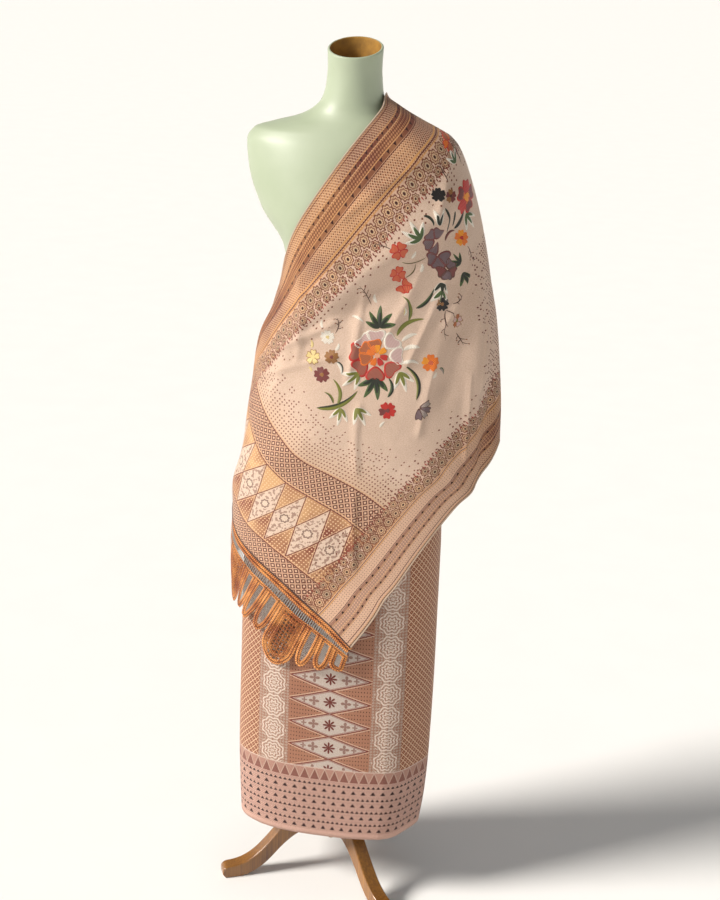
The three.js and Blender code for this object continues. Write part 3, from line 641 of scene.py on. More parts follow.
def finish_weave(cloth, place, x, y, slub_scale, shade, crumple, roughness, depth_mm, **more):
    """Ends a woven material: the height is the crumpling plus sine of warp times sine of weft.

    Where the yarn is thick, by a noise, the shade is multiplied over the cloth's colour.
    """
    warp = add("SINE", add("MULTIPLY", x, 2 * np.pi / (2.4 * THREAD)))
    weft = add("SINE", add("MULTIPLY", y, 2 * np.pi / (1.6 * THREAD)))
    slub = add("TexNoise", sockets={"Vector": place, "Scale": slub_scale, "Detail": 2.0})
    shaded = add("MixRGB", 1.0, cloth, shade, blend_type="MULTIPLY")
    colour = add("MixRGB", add("MULTIPLY_ADD", slub, 1.6, -0.4, use_clamp=True), cloth, shaded)
    noise, rise = crumple
    finish_surface(
        colour, roughness, add("MULTIPLY_ADD", noise, rise, add("MULTIPLY", warp, weft)), depth_mm, **more
    )


print("threads are drawn", THREAD, "mm apart")

# %% The end zone
# mm along from the sewn end, and colour, of the lines across it
END_LINES = [
    (46.0, "#75392F"), (49.0, "#DDB58C"), (185.0, "#75392F"), (188.0, "#DDB58C"), (244.0, "#75392F"),
    (247.0, "#D9B18A"),
]


def end_zone(made, warmth, place, along, across):
    """Over the sewn end, inwards: a net, tall rhombi, a net between double lines, scattered marks."""
    haze = add("MULTIPLY", add("MULTIPLY_ADD", along, -0.011, 3.4, use_clamp=True), 0.6)
    kept = add("GREATER_THAN", random_cells(along, across, 7, 7), add("MULTIPLY_ADD", along, 0.0125, -3.35))
    marks = add("MULTIPLY", kept, add("LESS_THAN", lattice(along, across, 7, 7), 0.55))
    net = diamond_net(along, across, 15.5)
    # the rhombi: 134 mm tall and 53 mm apart, with leafy marks and a star inside and rows of dots between
    rhomb = add("DIVIDE", add("ABSOLUTE", add("SUBTRACT", along, 117.0)), 67.0)
    rhomb = add("ADD", rhomb, add("DIVIDE", add("PINGPONG", across, 26.5), 26.5))
    band = add("COMPARE", along, 117.0, 67.0)
    dots = add("LESS_THAN", lattice(along, across, 6.4, 6.4), 0.55)
    between = add("MixRGB", dots, add("MixRGB", warmth, "#884836", "#D8AC7C"), "#EBCDA8")
    leafy = add("TexNoise", sockets={"Vector": place, "Scale": 0.15, "Detail": 1.0})
    star = rosettes(across, along, 117.0, 53.0, 12.0)
    inside = lay_over("#DEC8B6", (
        (add("GREATER_THAN", leafy, 0.54), "#A98B7C"), (add("LESS_THAN", star, 1.1), "#E0CCB9"),
        (add("COMPARE", star, 0.75, 0.16), "#8F7468"),
    ))
    layers = [
        (haze, "#D2AC86"), (marks, "#824C3C"), (add("LESS_THAN", along, 244.0), net),
        (add("LESS_THAN", along, 186.0), between),
        (add("MULTIPLY", band, add("LESS_THAN", rhomb, 1.0)), inside),
    ]
    for at, half, colour in ((1.0, 0.035, "#75392F"), (0.93, 0.02, "#DFC4A8"), (1.1, 0.025, "#D9B793")):
        layers.append((add("MULTIPLY", band, add("COMPARE", rhomb, at, half)), colour))
    layers.append((add("LESS_THAN", along, 46.0), net))
    layers += [(add("COMPARE", along, at, 1.0), colour) for at, colour in END_LINES]
    return lay_over(made, layers)


print("lines cross the end zone at", [at for at, _ in END_LINES], "mm")

# %% The long borders and the rows inside them
# mm from the edge, half width in mm, and colour, of the lines along a border
BORDER_LINES = [
    (1.4, 1.6, "#D9C6B0"), (3.6, 0.7, "#4E2823"), (5.6, 0.6, "#D3A06E"), (11.5, 0.7, "#5E2A22"),
    (29.5, 0.6, "#C9965F"), (38.0, 0.6, "#D3A06E"), (53.4, 0.6, "#C9965F"), (62.0, 0.6, "#5E2A22"),
    (86.0, 0.9, "#CF9A5C"), (88.8, 0.7, "#5E2A22"), (92.0, 0.8, "#CF9A5C"),
]
BORDER_WIDTH = 92.5


def long_border(warmth, painted_light, along, edge):
    """From the edge inwards: stippled mesh in rose and gold, between lines and rows of triangles."""
    # painted light: along the lower edge the rose is painted paler and a pale wash is laid over it
    rose = add("MixRGB", painted_light, add("MixRGB", warmth, "#834B38", "#C08A5E"), "#D6A88E")
    fine = lattice(along, edge, 5.2, 5.2)
    leaf = add("LESS_THAN", lattice(along, edge, 5.2, 5.0), 0.85)
    leaves = add("MixRGB", leaf, add("MixRGB", 0.7, rose, "#5E2C22"), add("MixRGB", 0.3, rose, "#D9A878"))
    layers = [
        (add("COMPARE", fine, 1.0, 0.26), add("MixRGB", 0.55, rose, "#EBCFAE")),
        (add("LESS_THAN", fine, 0.55), add("MixRGB", 0.72, rose, "#4E2018")),
        (add("COMPARE", edge, 45.5, 7.5), leaves), (add("MULTIPLY", painted_light, 0.3), "#EBCDB8"),
    ]
    for foot, pitch, tall in ((31.5, 15.0, 4.4), (55.0, 19.0, 5.0)):
        band = add("COMPARE", edge, foot + tall / 2, tall / 2 + 0.6)
        layers.append((band, add("MixRGB", 0.5, rose, "#5E2C22")))
        layers.append((triangles_on(along, edge, foot, pitch, tall), "#331613"))
    layers += [(add("COMPARE", edge, at, half), colour) for at, half, colour in BORDER_LINES]
    return lay_over(rose, layers)


def rosette_row(cloth, along, edge):
    """Inside the border: two rows of lacy wheels, red sprigs, then buds that thin out over the ground."""
    petals = add("MixRGB", random_cells(along, edge, 21, 400), "#B5A186", "#DBB892")
    layers = [(add("MULTIPLY", add("MULTIPLY_ADD", edge, -0.02, 2.75, use_clamp=True), 0.5), "#BC8862")]
    for shift, middle, radius in ((0.0, 104.0, 10.4), (10.5, 122.0, 8.4)):
        wheel = rosettes(add("ADD", along, shift), edge, middle, 21.0, radius)
        layers.append((add("LESS_THAN", wheel, 1.0), petals))
        for at, half, colour in ((1.0, 0.12, "#7C4A39"), (0.6, 0.1, "#8E5C48"), (0.0, 0.26, "#4A2620")):
            layers.append((add("COMPARE", wheel, at, half), colour))
    sprig = add("LESS_THAN", lattice(along, edge, 7.0, 26.0), 0.42)
    tint = add("MixRGB", random_cells(along, edge, 7, 300), "#A84A3E", "#6C3A30")
    layers.append((add("MULTIPLY", sprig, add("COMPARE", edge, 136.0, 9.0)), tint))
    kept = add("GREATER_THAN", random_cells(along, edge, 10, 9), add("MULTIPLY_ADD", edge, 0.017, -1.95))
    kept = add("MULTIPLY", kept, add("GREATER_THAN", edge, 112.0))
    layers.append((add("MULTIPLY", kept, add("LESS_THAN", lattice(along, edge, 10.0, 9.0), 0.5)), "#7C4636"))
    return add("MixRGB", add("GREATER_THAN", edge, 92.0), cloth, lay_over(cloth, layers))


print("a border is", BORDER_WIDTH, "mm wide and has", len(BORDER_LINES), "lines")


# %% The shawl's material
def shawl_material():
    """Ground, end zone, the marks at the arm side, rosettes and borders, laid over each other."""
    made = start("satin_weave_cotton_with_songket_borders")
    place, along, across = cloth_axes()
    edge = add("PINGPONG", across, SHAWL_WIDTH / 2)
    cloud = add("TexNoise", sockets={"Vector": place, "Scale": 0.009, "Detail": 4.0})
    warmth = add("MULTIPLY_ADD", cloud, 4.5, -1.75, use_clamp=True)
    cloth = end_zone(add("MixRGB", cloud, "#E6CEBC", "#CCB39F"), warmth, place, along, across)
    # towards the arm side dark red marks crowd together
    from_ridge = add("Attribute", out=2, attribute_name="from_ridge")
    few = add("MULTIPLY_ADD", from_ridge, 0.013, -0.1)
    marks = add("GREATER_THAN", random_cells(along, across, 6, 6), few)
    marks = add("MULTIPLY", marks, add("LESS_THAN", lattice(along, across, 6, 6), 0.7))
    marks = add("MULTIPLY", marks, add("LESS_THAN", across, 0.56 * SHAWL_WIDTH))
    cloth = rosette_row(add("MixRGB", marks, cloth, "#6C302C"), along, edge)
    # painted light: the border along the lower edge is painted paler away from the arm side, standing in for
    # the light that falls on it
    painted_light = add("MULTIPLY_ADD", from_ridge, 0.008, -0.3, use_clamp=True)
    painted_light = add("MULTIPLY", painted_light, add("LESS_THAN", across, SHAWL_WIDTH / 2))
    in_border = add("LESS_THAN", edge, BORDER_WIDTH)
    cloth = add("MixRGB", in_border, cloth, long_border(warmth, painted_light, along, edge))
    crumple = add("TexNoise", sockets={"Vector": place, "Scale": 0.016, "Detail": 2.5, "Distortion": 0.9})
    duller = add("MULTIPLY_ADD", in_border, 0.16, 0.5)
    finish_weave(
        cloth, place, along, across, 0.5, "#D9C8BA", (crumple, 26.0), duller, 0.14,
        specular_ior_level=0.25, sheen_weight=0.06,
    )
    return made


shawl_cloth = shawl_material()
print("the shawl's material has", len(tree_of.nodes), "nodes")


# %% The two stretches of the shawl
SEAM_GAP = 0.3
RIDGE = 1 - SEAM_GAP / 2 / SHAWL_WIDTH
SHOWN_WALL = 1.2


def make_shawl(from_back, columns, rows):
    """A grid of t by v on the surface; U is the length along from the sewn end and V that across."""
    t = np.linspace(0, RIDGE, columns)
    v = np.linspace(0, 1, rows)
    points = shawl_surface(from_back, t[None, :], v[:, None])
    run = lengths_along(points, 1)
    uv = np.stack([run, np.broadcast_to(v[:, None] * SHAWL_WIDTH, run.shape)], -1)
    faces = grid_faces(rows, columns)
    if from_back:
        faces = faces[:, ::-1]
    name = "shawl_back" if from_back else "shawl_front"
    piece = make_piece(
        f"{name}_cloth", points.reshape(-1, 3), faces, uv.reshape(-1, 2), material=shawl_cloth,
        slot="shawl_cloth", replaces=[name],
    )
    point_value(piece, "from_ridge", run[:, -1:] - run)
    thicken(piece, SHOWN_WALL)
    return piece, run


front_cloth, front_run = make_shawl(False, 216, 185)
back_cloth, back_run = make_shawl(True, 150, 185)
for side, run in (("front", front_run[:, -1]), ("back", back_run[:, -1])):
    print(f"the {side} stretch is {run.min():.0f} to {run.max():.0f} mm long")

# %% [markdown]
# ## The skirt cloth
# The skirt is one woven length wrapped round the hips and sewn down one side. A real one is a flat length,
# so it could be unrolled too, but its outline is so simple that level sections with a few soft folds do.
# The front is pulled flat and turns sharply at the wearer's left.

# %% The skirt's surface
SKIRT_TOP, SKIRT_HEM = 1190.0, 140.0
# angle from the front in degrees, half width in degrees, height at the hem in mm
SKIRT_FOLDS = [
    (84, 9, 5), (62, 12, -4), (36, 9, 1.6), (-58, 16, 3), (-88, 18, -4), (-128, 20, 4), (150, 18, -4),
    (112, 16, 4),
]
PRESSED = [(31, 1.6, 0.9), (-34, 1.4, 0.6)]


def skirt_surface(angle, z):
    """A point of the skirt: a section that squares up towards the hem, moved out by growing folds."""
    flatness = smooth((1050 - z) / 350)
    ahead = smooth(0.5 + 0.5 * np.cos(angle))
    squareness = 1 - flatness * (0.08 + 0.2 * ahead + 0.05 * ahead * np.sin(angle))
    x, y = on_section(SKIRT_SECTIONS, z, angle, squareness)
    rise = smooth((SKIRT_TOP - z) / (SKIRT_TOP - SKIRT_HEM))
    out = 0
    for at, reach, height in SKIRT_FOLDS + PRESSED:
        turn = (np.degrees(angle) - at + 180) % 360 - 180
        out = out + height * rise * np.exp(-((turn / reach) ** 2))
    grow = 1 + out / np.hypot(x, y)
    return np.stack([x * grow, y * grow, z + 0 * x], -1)


print("the hem's front middle is", skirt_surface(np.array(0.0), np.array(150.0)).round())


# %% The skirt's material
# Cotton songket woven all over in rose, cream and copper: the floats lie flat and close, so it is smoother
# than the shawl's borders, with a slight metallic glint from the wrapped threads.
COLUMN_STARS = [  # mm from the middle, rays, heart, reach of the rays, colour
    (0.0, 4.0, 2.5, 10.5, "#6E2F27"), (31.0, 2.0, 1.5, 8.5, "#937268"), (50.0, 2.0, 1.0, 4.5, "#937268"),
]


def skirt_columns(place, girth, height):
    """Columns twice round: rhombi, then roundels of fine lines, then a copper net with cream lines."""
    off = add("PINGPONG", add("SUBTRACT", girth, COLUMN_MIDDLE), SKIRT_GIRTH / 4)
    cloud = add("TexNoise", sockets={"Vector": place, "Scale": 0.006, "Detail": 3.0})
    # rhombi lying across, 77 mm either way and 25 mm up and down, with a star in the middle
    rhomb = add("ADD", add("DIVIDE", off, 77.0), add("DIVIDE", add("PINGPONG", height, 25.0), 25.0))
    dashes = add("LESS_THAN", lattice(girth, height, 5.6, 8.4), 0.42)
    layers = [(dashes, "#4A211C"), (add("LESS_THAN", rhomb, 1.0), "#C4B8AE")]
    for middle, rays, heart, reach, colour in COLUMN_STARS:
        radius, spread = polar(add("SUBTRACT", off, middle), add("WRAP", height, 25.0, -25.0), rays)
        star_edge = add("MULTIPLY_ADD", add("ABSOLUTE", spread), reach, heart)
        layers.append((add("LESS_THAN", radius, star_edge), colour))
    for at, half, colour in ((1.0, 0.045, "#7C3A30"), (1.12, 0.035, "#D2B49C"), (0.9, 0.025, "#9A6A5C")):
        layers.append((add("COMPARE", rhomb, at, half), colour))
    column = lay_over(add("MixRGB", cloud, "#9C6A52", "#B5846A"), layers)
    # roundels: rings about a middle, drawn in pale lines over a small net
    dy = add("WRAP", add("ADD", height, 25.0), 25.0, -25.0)
    radius, rays = polar(add("SUBTRACT", off, 112.0), dy, 8.0)
    fine = lattice(off, height, 6.4, 6.25)
    wavy = add("ADD", radius, add("MULTIPLY", rays, 1.6))
    rings = add("GREATER_THAN", add("SINE", add("MULTIPLY", wavy, 0.92)), 0.1)
    pale = lay_over(add("MixRGB", cloud, "#9A7260", "#AC8570"), (
        (add("LESS_THAN", fine, 0.8), "#C2AFA0"),
        (add("MULTIPLY", rings, add("LESS_THAN", radius, 27.0)), "#E0D0C2"),
        (add("MULTIPLY", add("LESS_THAN", fine, 0.3), add("GREATER_THAN", radius, 8.0)), "#7A5348"),
    ))
    ring = add("ABSOLUTE", add("SUBTRACT", lattice(off, height, 12.0, 12.5), 1.0))
    copper = lay_over("#8A503A", (
        (add("LESS_THAN", ring, 0.2), "#DDBB9A"), (add("GREATER_THAN", ring, 0.76), "#C49470"),
    ))
    body = add("MixRGB", add("LESS_THAN", off, 144.0), copper, pale)
    return add("MixRGB", add("LESS_THAN", off, 80.0), body, column)


print("the skirt's columns have stars at", [row[0] for row in COLUMN_STARS], "mm from their middle")


# %% The border over the hem, and the whole of the skirt's material
HEM_REPEATS, HEM_ROWS, HEM_BORDER = 52, 8, 154.0


def skirt_border(girth, height):
    """Over the hem: triangles under a pale line, rows of small marks on fine net, and a plain edge."""
    pitch = SKIRT_GIRTH / HEM_REPEATS
    fine = lattice(girth, height, pitch / 4, 5.0)
    layers = []
    for row in range(HEM_ROWS):
        foot = 16.0 + 14.2 * row
        each, tall = (pitch / 2, 6.0) if row % 2 else (pitch, 8.0)
        layers.append((triangles_on(girth, height, foot, each, tall), "#33161A"))
        layers.append((add("COMPARE", height, foot + 8.5, 0.7), "#B39286"))
    slant = add("MULTIPLY", add("SUBTRACT", 152.0, height), pitch / 50)
    tooth = add("SUBTRACT", add("PINGPONG", girth, pitch / 2), slant)
    teeth = add("COMPARE", height, 140.0, 12.5)
    layers += [
        (teeth, add("MixRGB", add("LESS_THAN", tooth, 0.0), "#B48A7B", "#8A5A4E")),
        (add("MULTIPLY", teeth, add("COMPARE", tooth, 0.0, 0.9)), "#C3A899"),
        (add("COMPARE", height, 153.0, 1.4), "#CDB6A8"), (add("LESS_THAN", height, 12.0), "#CEA99A"),
    ]
    return lay_over(add("MixRGB", add("COMPARE", fine, 1.0, 0.22), "#B1897B", "#D6B5A6"), layers)


def skirt_material():
    """The columns, the border over the hem, and the ripple of the threads."""
    made = start("songket_cotton_with_wrapped_thread")
    place, girth, height = cloth_axes()
    body = skirt_columns(place, girth, height)
    cloth = add("MixRGB", add("LESS_THAN", height, HEM_BORDER), body, skirt_border(girth, height))
    crumple = add("TexNoise", sockets={"Vector": place, "Scale": 0.012, "Detail": 2.0, "Distortion": 0.6})
    finish_weave(
        cloth, place, girth, height, 0.45, "#D6C6BC", (crumple, 16.0), 0.56, 0.13, specular_ior_level=0.28,
        sheen_weight=0.04,
    )
    return made


print("the border repeats", HEM_REPEATS, "times round the hem")

# %% The skirt's cloth
# the grid starts and ends at the back, where its two edges are welded into one closed tube
SKIRT_ROWS, SKIRT_COLUMNS = 150, 301
skirt_turns = np.linspace(-np.pi, np.pi, SKIRT_COLUMNS)
skirt_heights = np.linspace(SKIRT_HEM, SKIRT_TOP, SKIRT_ROWS)
skirt_points = skirt_surface(skirt_turns[None, :], skirt_heights[:, None])
girth_here = lengths_along(skirt_points, 1)[skirt_heights.searchsorted(500)]
SKIRT_GIRTH = girth_here[-1]
COLUMN_MIDDLE = girth_here[SKIRT_COLUMNS // 2] + 11.0
songket = skirt_material()
print("the skirt measures", SKIRT_GIRTH.round(), "mm round and its material has", len(tree_of.nodes), "nodes")
# U is the girth half way down, so that the columns run straight from hem to waist
skirt_uv = np.stack(np.broadcast_arrays(girth_here, skirt_heights[:, None] - SKIRT_HEM), -1)
skirt_faces = grid_faces(SKIRT_ROWS, SKIRT_COLUMNS)
skirt_piece = make_piece(
    "skirt_cloth", skirt_points.reshape(-1, 3), skirt_faces, skirt_uv.reshape(-1, 2), material=songket,
    slot="songket", replaces=["skirt"],
)
tube = bmesh.new()
tube.from_mesh(skirt_piece.data)
bmesh.ops.remove_doubles(tube, verts=tube.verts, dist=1e-6)
tube.to_mesh(skirt_piece.data)
tube.free()
thicken(skirt_piece, SHOWN_WALL)

# %% [markdown]
# ## Edges, cords and tapes
# Rolled hems, the corded seam and the lace are all long thin things that lie on the cloth. Curves with a
# bevel could make them, but one sweep along points that are already on the surface keeps every one of them
# seated, and gives its own UV map along its length for the twist of the thread.

# %% Sweeping a flat oval along a path
def sweep(path, normal, half_width, half_height, ring=8):
    """An oval carried along a path: path + side * half_width * cos + lift * half_height * sin."""
    tangent = np.gradient(path, axis=0)
    tangent /= np.linalg.norm(tangent, axis=1, keepdims=True)
    side = np.cross(tangent, normal)
    side /= np.linalg.norm(side, axis=1, keepdims=True)
    lift = np.cross(side, tangent)
    turn = np.linspace(0, 2 * np.pi, ring + 1)[:-1][None, :, None]
    wide = np.broadcast_to(half_width, len(path))[:, None, None]
    high = np.broadcast_to(half_height, len(path))[:, None, None]
    points = path[:, None] + side[:, None] * wide * np.cos(turn) + lift[:, None] * high * np.sin(turn)
    around = np.broadcast_to(np.cos(turn[..., 0]), (len(path), ring))
    run = np.broadcast_to(lengths_along(path, 0)[:, None], (len(path), ring))
    quads = grid_faces(len(path), ring, closed=True)[:, ::-1].tolist()
    ends = [list(range(ring)), list(range((len(path) - 1) * ring, len(path) * ring))[::-1]]
    return points.reshape(-1, 3), quads + ends, np.stack([run, around], -1).reshape(-1, 2)


def gather(parts):
    """Puts several points-faces-map parts into one: each part's face numbers go past the last one's."""
    starts = np.cumsum([0] + [len(part[0]) for part in parts[:-1]])
    faces = [[i + int(start) for i in face] for part, start in zip(parts, starts) for face in part[1]]
    points, _, *maps = zip(*parts)
    return np.concatenate(points), faces, *(np.concatenate(rows) for rows in maps)


def surface_normals(surface, a, b, step_a, step_b):
    """Outward normals of a surface of two parameters: the cross product of its differences."""
    along = surface(a + step_a, b) - surface(a - step_a, b)
    normal = np.cross(along, surface(a, b + step_b) - surface(a, b - step_b))
    normal /= np.linalg.norm(normal, axis=-1, keepdims=True)
    here = surface(a, b)
    return normal * np.sign((normal[..., :2] * here[..., :2]).sum(-1, keepdims=True))


tried = sweep(np.eye(4, 3) * 5, np.ones((4, 3)) * [0, 1, 0.2], 1, 1)
print("a sweep along four points has", len(tried[0]), "points")

# %% The hems and the corded seam
def on_cloth(from_back, t, v, lift):
    """Points of the shawl's cloth and their normals, lifted off it by so many mm."""

    def surface(a, b):
        """The cloth on this side."""
        return shawl_surface(from_back, a, b)

    normal = surface_normals(surface, t, v, 0.002, 0.003)
    return surface(t, v) + normal * lift, normal


HEM_HALF, CORD_HALF, ALONG_POINTS = 1.5, 1.5, 260
rolled_thread = start("rolled_hem_of_the_same_cotton")
twist = add("SINE", add("MULTIPLY", cloth_axes()[1], 2 * np.pi / 2.4))
finish_surface(add("MixRGB", twist, "#A3866F", "#D0BBA5"), 0.6, twist, 0.2, sheen_weight=0.2)
corded_thread = start("dark_twisted_cotton_cord")
_, along, round_it = cloth_axes()
twist = add("SINE", add("ADD", add("MULTIPLY", along, 2 * np.pi / 3.0), add("MULTIPLY", round_it, 2.2)))
finish_surface(add("MixRGB", twist, "#2E1712", "#6B3A2C"), 0.6, twist, 0.5, sheen_weight=0.2)

hems, seams = [], []
for from_back in (False, True):
    side = "back" if from_back else "front"
    t = np.linspace(0, RIDGE, ALONG_POINTS)
    rolls = [sweep(*on_cloth(from_back, t, np.full_like(t, v), -0.5), HEM_HALF, 1.1) for v in (0.001, 0.999)]
    hems.append(make_piece(f"rolled_hems_{side}", *gather(rolls), material=rolled_thread, slot="shawl_cloth"))
    v = np.linspace(0, 1, ALONG_POINTS)
    cord_parts = sweep(*on_cloth(from_back, np.zeros_like(v), v, -0.3), CORD_HALF, 1.3)
    seams.append(make_piece(f"corded_seam_{side}", *cord_parts, material=corded_thread, slot="shawl_cloth"))

# %% [markdown]
# ## The lace
# The lace is made of narrow crocheted tape: a plain heading that is sewn to the cloth, a ladder of threads,
# then three hanging tongues and a netted medallion, over and over. A pattern of holes in one sheet would
# look cut out of paper, so the tapes are laid one by one along the motifs, with cords netted between them.

# %% The surface that the lace hangs in
LACE_DEPTH, LACE_PERIODS = 140.0, 4
LACE_HEADER, LACE_LADDER, LACE_NOTCH = 17.0, 14.0, 68.0
TONGUE_WIDTH, TAPE_HALF, LOOP_POINTS = 32.0, 5.2, 24
# along the seam, then aside and down for the front and for the back, at full depth
LACE_FALL = np.array([
    [0, 24, 92, 60, 110], [50, 40, 116, 76, 110], [90, 56, 130, 88, 108], [129, 70, 144, 94, 104],
    [165, 76, 140, 96, 102], [200, 78, 130, 96, 102], [250, 72, 142, 94, 104], [300, 70, 134, 92, 106],
    [400, 74, 118, 90, 108], [650, 78, 116, 86, 110],
], float)


def lace_surface(from_back, x, y):
    """x mm along the seam and y mm below it: the seam's point moved aside and down in proportion to y."""
    v = np.clip(x / SHAWL_WIDTH, 0, 1)
    first = 3 if from_back else 1
    share = y / LACE_DEPTH
    aside, down = column_at(LACE_FALL, first, x) * share, column_at(LACE_FALL, first + 1, x) * share
    arc, z, out = shawl_place(from_back, 0.0, v)
    inset = LAYER_INSET if from_back else 0
    wave = 3 * np.sin(2 * np.pi * LACE_PERIODS * x / SHAWL_WIDTH) * smooth(share)
    flare = 0 if from_back else 13 * smooth((x - 380) / 120) * smooth(share)
    off = (out + inset) * (1 - share / 2) + wave + flare - inset
    return drape_point(arc - aside, z - down, from_back, off)


def lace_strip(from_back, x, y, half_width, half_height, lift, ring=8):
    """A tape or cord along points of the lace's plane, lifted off it by so many mm."""

    def surface(a, b):
        """The lace's plane on this side."""
        return lace_surface(from_back, a, b)

    normal = surface_normals(surface, x, y, 1.0, 1.0)
    return sweep(surface(x, y) + normal * lift, normal, half_width, half_height, ring)


def evenly(corners, step):
    """Points every step mm along straight lines between corners."""
    corners = np.asarray(corners, float)
    run = lengths_along(corners, 0)
    at = np.linspace(0, run[-1], max(3, int(run[-1] / step) + 1))
    return np.interp(at, run, corners[:, 0]), np.interp(at, run, corners[:, 1])


def hanging_loop(left, right, top, notch, depth):
    """Down one side, round half an ellipse and up the other side."""
    turn = np.linspace(0, np.pi, LOOP_POINTS)
    middle, half = (left + right) / 2, (right - left) / 2
    bottom = np.stack([middle - half * np.cos(turn), notch + (depth - notch) * np.sin(turn)], -1)
    return [(left, top), *bottom.tolist(), (right, top)]


print("the front lace's middle hangs at", lace_surface(False, np.array([325.0]), np.array([140.0])).round())

# %% Laying the tapes
CORD, BRAID_PITCH = 0.95, 4.2


def tape(from_back, corners, half=TAPE_HALF, high=1.0):
    """A flat tape with a picot edge: its half width swells a little at every stitch."""
    x, y = evenly(corners, 1.1)
    run = lengths_along(np.stack([x, y], -1), 0)
    picot = half + 0.11 * half * np.cos(2 * np.pi * run / BRAID_PITCH)
    return lace_strip(from_back, x, y, picot, high, -0.5)


def cord(from_back, corners, half=CORD):
    """A thin round cord, a little behind the tapes."""
    return lace_strip(from_back, *evenly(corners, 2.0), half, half, -0.9, ring=6)


def make_lace(from_back):
    """The heading and the tongues and medallions of tape, and apart from them the pale bars between."""
    top, last = LACE_HEADER + LACE_LADDER, SHAWL_WIDTH - 1
    heading = LACE_HEADER / 2 + 0.4
    tapes = [
        tape(from_back, [(1, heading), (last, heading)], LACE_HEADER / 2 - 0.6, 0.8),
        tape(from_back, [(1, top + 2), (last, top + 2)], 4.4),
    ]
    bars = [cord(from_back, [(x, LACE_HEADER - 1), (x + 0.6, top)]) for x in np.arange(4.0, SHAWL_WIDTH, 4.8)]
    period = SHAWL_WIDTH / LACE_PERIODS
    for i in range(LACE_PERIODS):
        start_x = i * period
        for k, depth in enumerate((84, 104, 118) if i == 0 else (114, 122, 116)):
            left = start_x + k * TONGUE_WIDTH + TAPE_HALF
            right = start_x + (k + 1) * TONGUE_WIDTH - TAPE_HALF
            tapes.append(tape(from_back, hanging_loop(left, right, top, LACE_NOTCH, depth - TAPE_HALF)))
            for y in np.arange(top + 6, depth - 13, 3.6):
                bars.append(cord(from_back, [(left, y), (right, y)], 0.8))
        left, right = start_x + 3 * TONGUE_WIDTH + TAPE_HALF, start_x + period - TAPE_HALF
        tapes.append(tape(from_back, hanging_loop(left, right, top, LACE_NOTCH + 34, LACE_DEPTH - TAPE_HALF)))
        inner = hanging_loop(left + 12, right - 12, top + 14, LACE_NOTCH + 36, LACE_DEPTH - TAPE_HALF - 13)
        tapes.append(tape(from_back, [*inner, inner[0]], 3.6, 0.9))
        netted = [[(x, top + 4), (x, LACE_DEPTH - 10)] for x in np.linspace(left + 7, right - 7, 7)]
        netted += [[(left, y), (right, y)] for y in np.arange(top + 10, LACE_DEPTH - 16, 7.0)]
        tapes += [cord(from_back, corners, 1.5) for corners in netted]
    return tapes, bars


print("the lace repeats every", SHAWL_WIDTH / LACE_PERIODS, "mm")

# %% The lace's cotton, and its pieces
# Crocheted mercerised cotton, with blotches of tone that differ at random. Painted light: its colour is
# painted darker in the hollows and lighter on the crowns of its stitches, and a line of holes down the middle
# of each tape is painted near black as painted shade.
crochet = start("crocheted_orange_cotton_tape")
_, along, round_it = cloth_axes()
aside = add("ABSOLUTE", round_it)
stitch = add("SINE", add("ADD", add("MULTIPLY", along, 2 * np.pi / BRAID_PITCH), add("MULTIPLY", aside, 2.6)))
blotch = add("TexNoise", sockets={"Vector": add("TexCoord", out=3), "Scale": 26.0, "Detail": 5.0})
# painted light: lighter on the crowns of the stitches and darker in their hollows, plus blotches that differ
# at random
tone = add("MULTIPLY_ADD", stitch, 0.42, add("MULTIPLY_ADD", blotch, 2.4, -0.7), use_clamp=True)
# painted shade: a line of holes down the middle of each tape, painted near black
hole_shade = add("MULTIPLY", add("LESS_THAN", aside, 0.24), add("GREATER_THAN", stitch, -0.2))
colour = add("MixRGB", hole_shade, add("MixRGB", tone, "#8A3C15", "#EDA35C"), "#2C0F06")
finish_surface(colour, 0.72, stitch, 0.8, specular_ior_level=0.3, sheen_weight=0.05)
# Bars of plain unbleached cotton, twisted and matt.
pale_bars = start("unbleached_cotton_bars")
ply = add("SINE", add("MULTIPLY", cloth_axes()[1], 2 * np.pi / 2.2))
finish_surface(add("MixRGB", ply, "#9C928A", "#C6BEB8"), 0.75, ply, 0.3, sheen_weight=0.2)
laces, lace_bars = [], []
for from_back in (False, True):
    side = "back" if from_back else "front"
    tapes, bars = make_lace(from_back)
    laces.append(make_piece(
        f"tape_lace_{side}", *gather(tapes), material=crochet, slot="lacework", replaces=[f"lace_{side}"],
    ))
    lace_bars.append(make_piece(f"lace_bars_{side}", *gather(bars), material=pale_bars, slot="lacework"))

# %% [markdown]
# ## The embroidery
# The middle of the shawl is embroidered in stranded cotton: satin-stitch petals with an outline, long curved
# blades, leaves with a pale rim and thin stems. The stitches really stand a fraction of a millimetre above
# the cloth, so each is a small domed patch. Its place is given on the flat panel, in millimetres right and
# up from the middle of the large flower, and a search finds where that is on the draped cloth.

# %% Finding a place on the cloth
def find_place(from_back, arc, z):
    """t and v of an arc and height: Newton's steps from the middle, each by the inverse of the slopes."""
    t, v = np.full(arc.shape, 0.6), np.full(arc.shape, 0.5)
    small = 0.002
    for step in range(14):
        a, h, _ = shawl_place(from_back, t, v)
        a_t, h_t, _ = shawl_place(from_back, t + small, v)
        a_v, h_v, _ = shawl_place(from_back, t, v + small)
        j11, j21, j12, j22 = (a_t - a) / small, (h_t - h) / small, (a_v - a) / small, (h_v - h) / small
        det = j11 * j22 - j12 * j21
        da, dh = arc - a, z - h
        t = np.clip(t + np.clip((da * j22 - dh * j12) / det, -0.2, 0.2), 0.0, 0.997)
        v = np.clip(v + np.clip((dh * j11 - da * j21) / det, -0.2, 0.2), 0.0, 1.0)
    return t, v


PANEL_MIDDLE = (76.0, 1134.5)
t_middle, v_middle = find_place(False, np.array([PANEL_MIDDLE[0]]), np.array([PANEL_MIDDLE[1]]))
print("the large flower is at", t_middle.round(3), "along and", v_middle.round(3), "across")

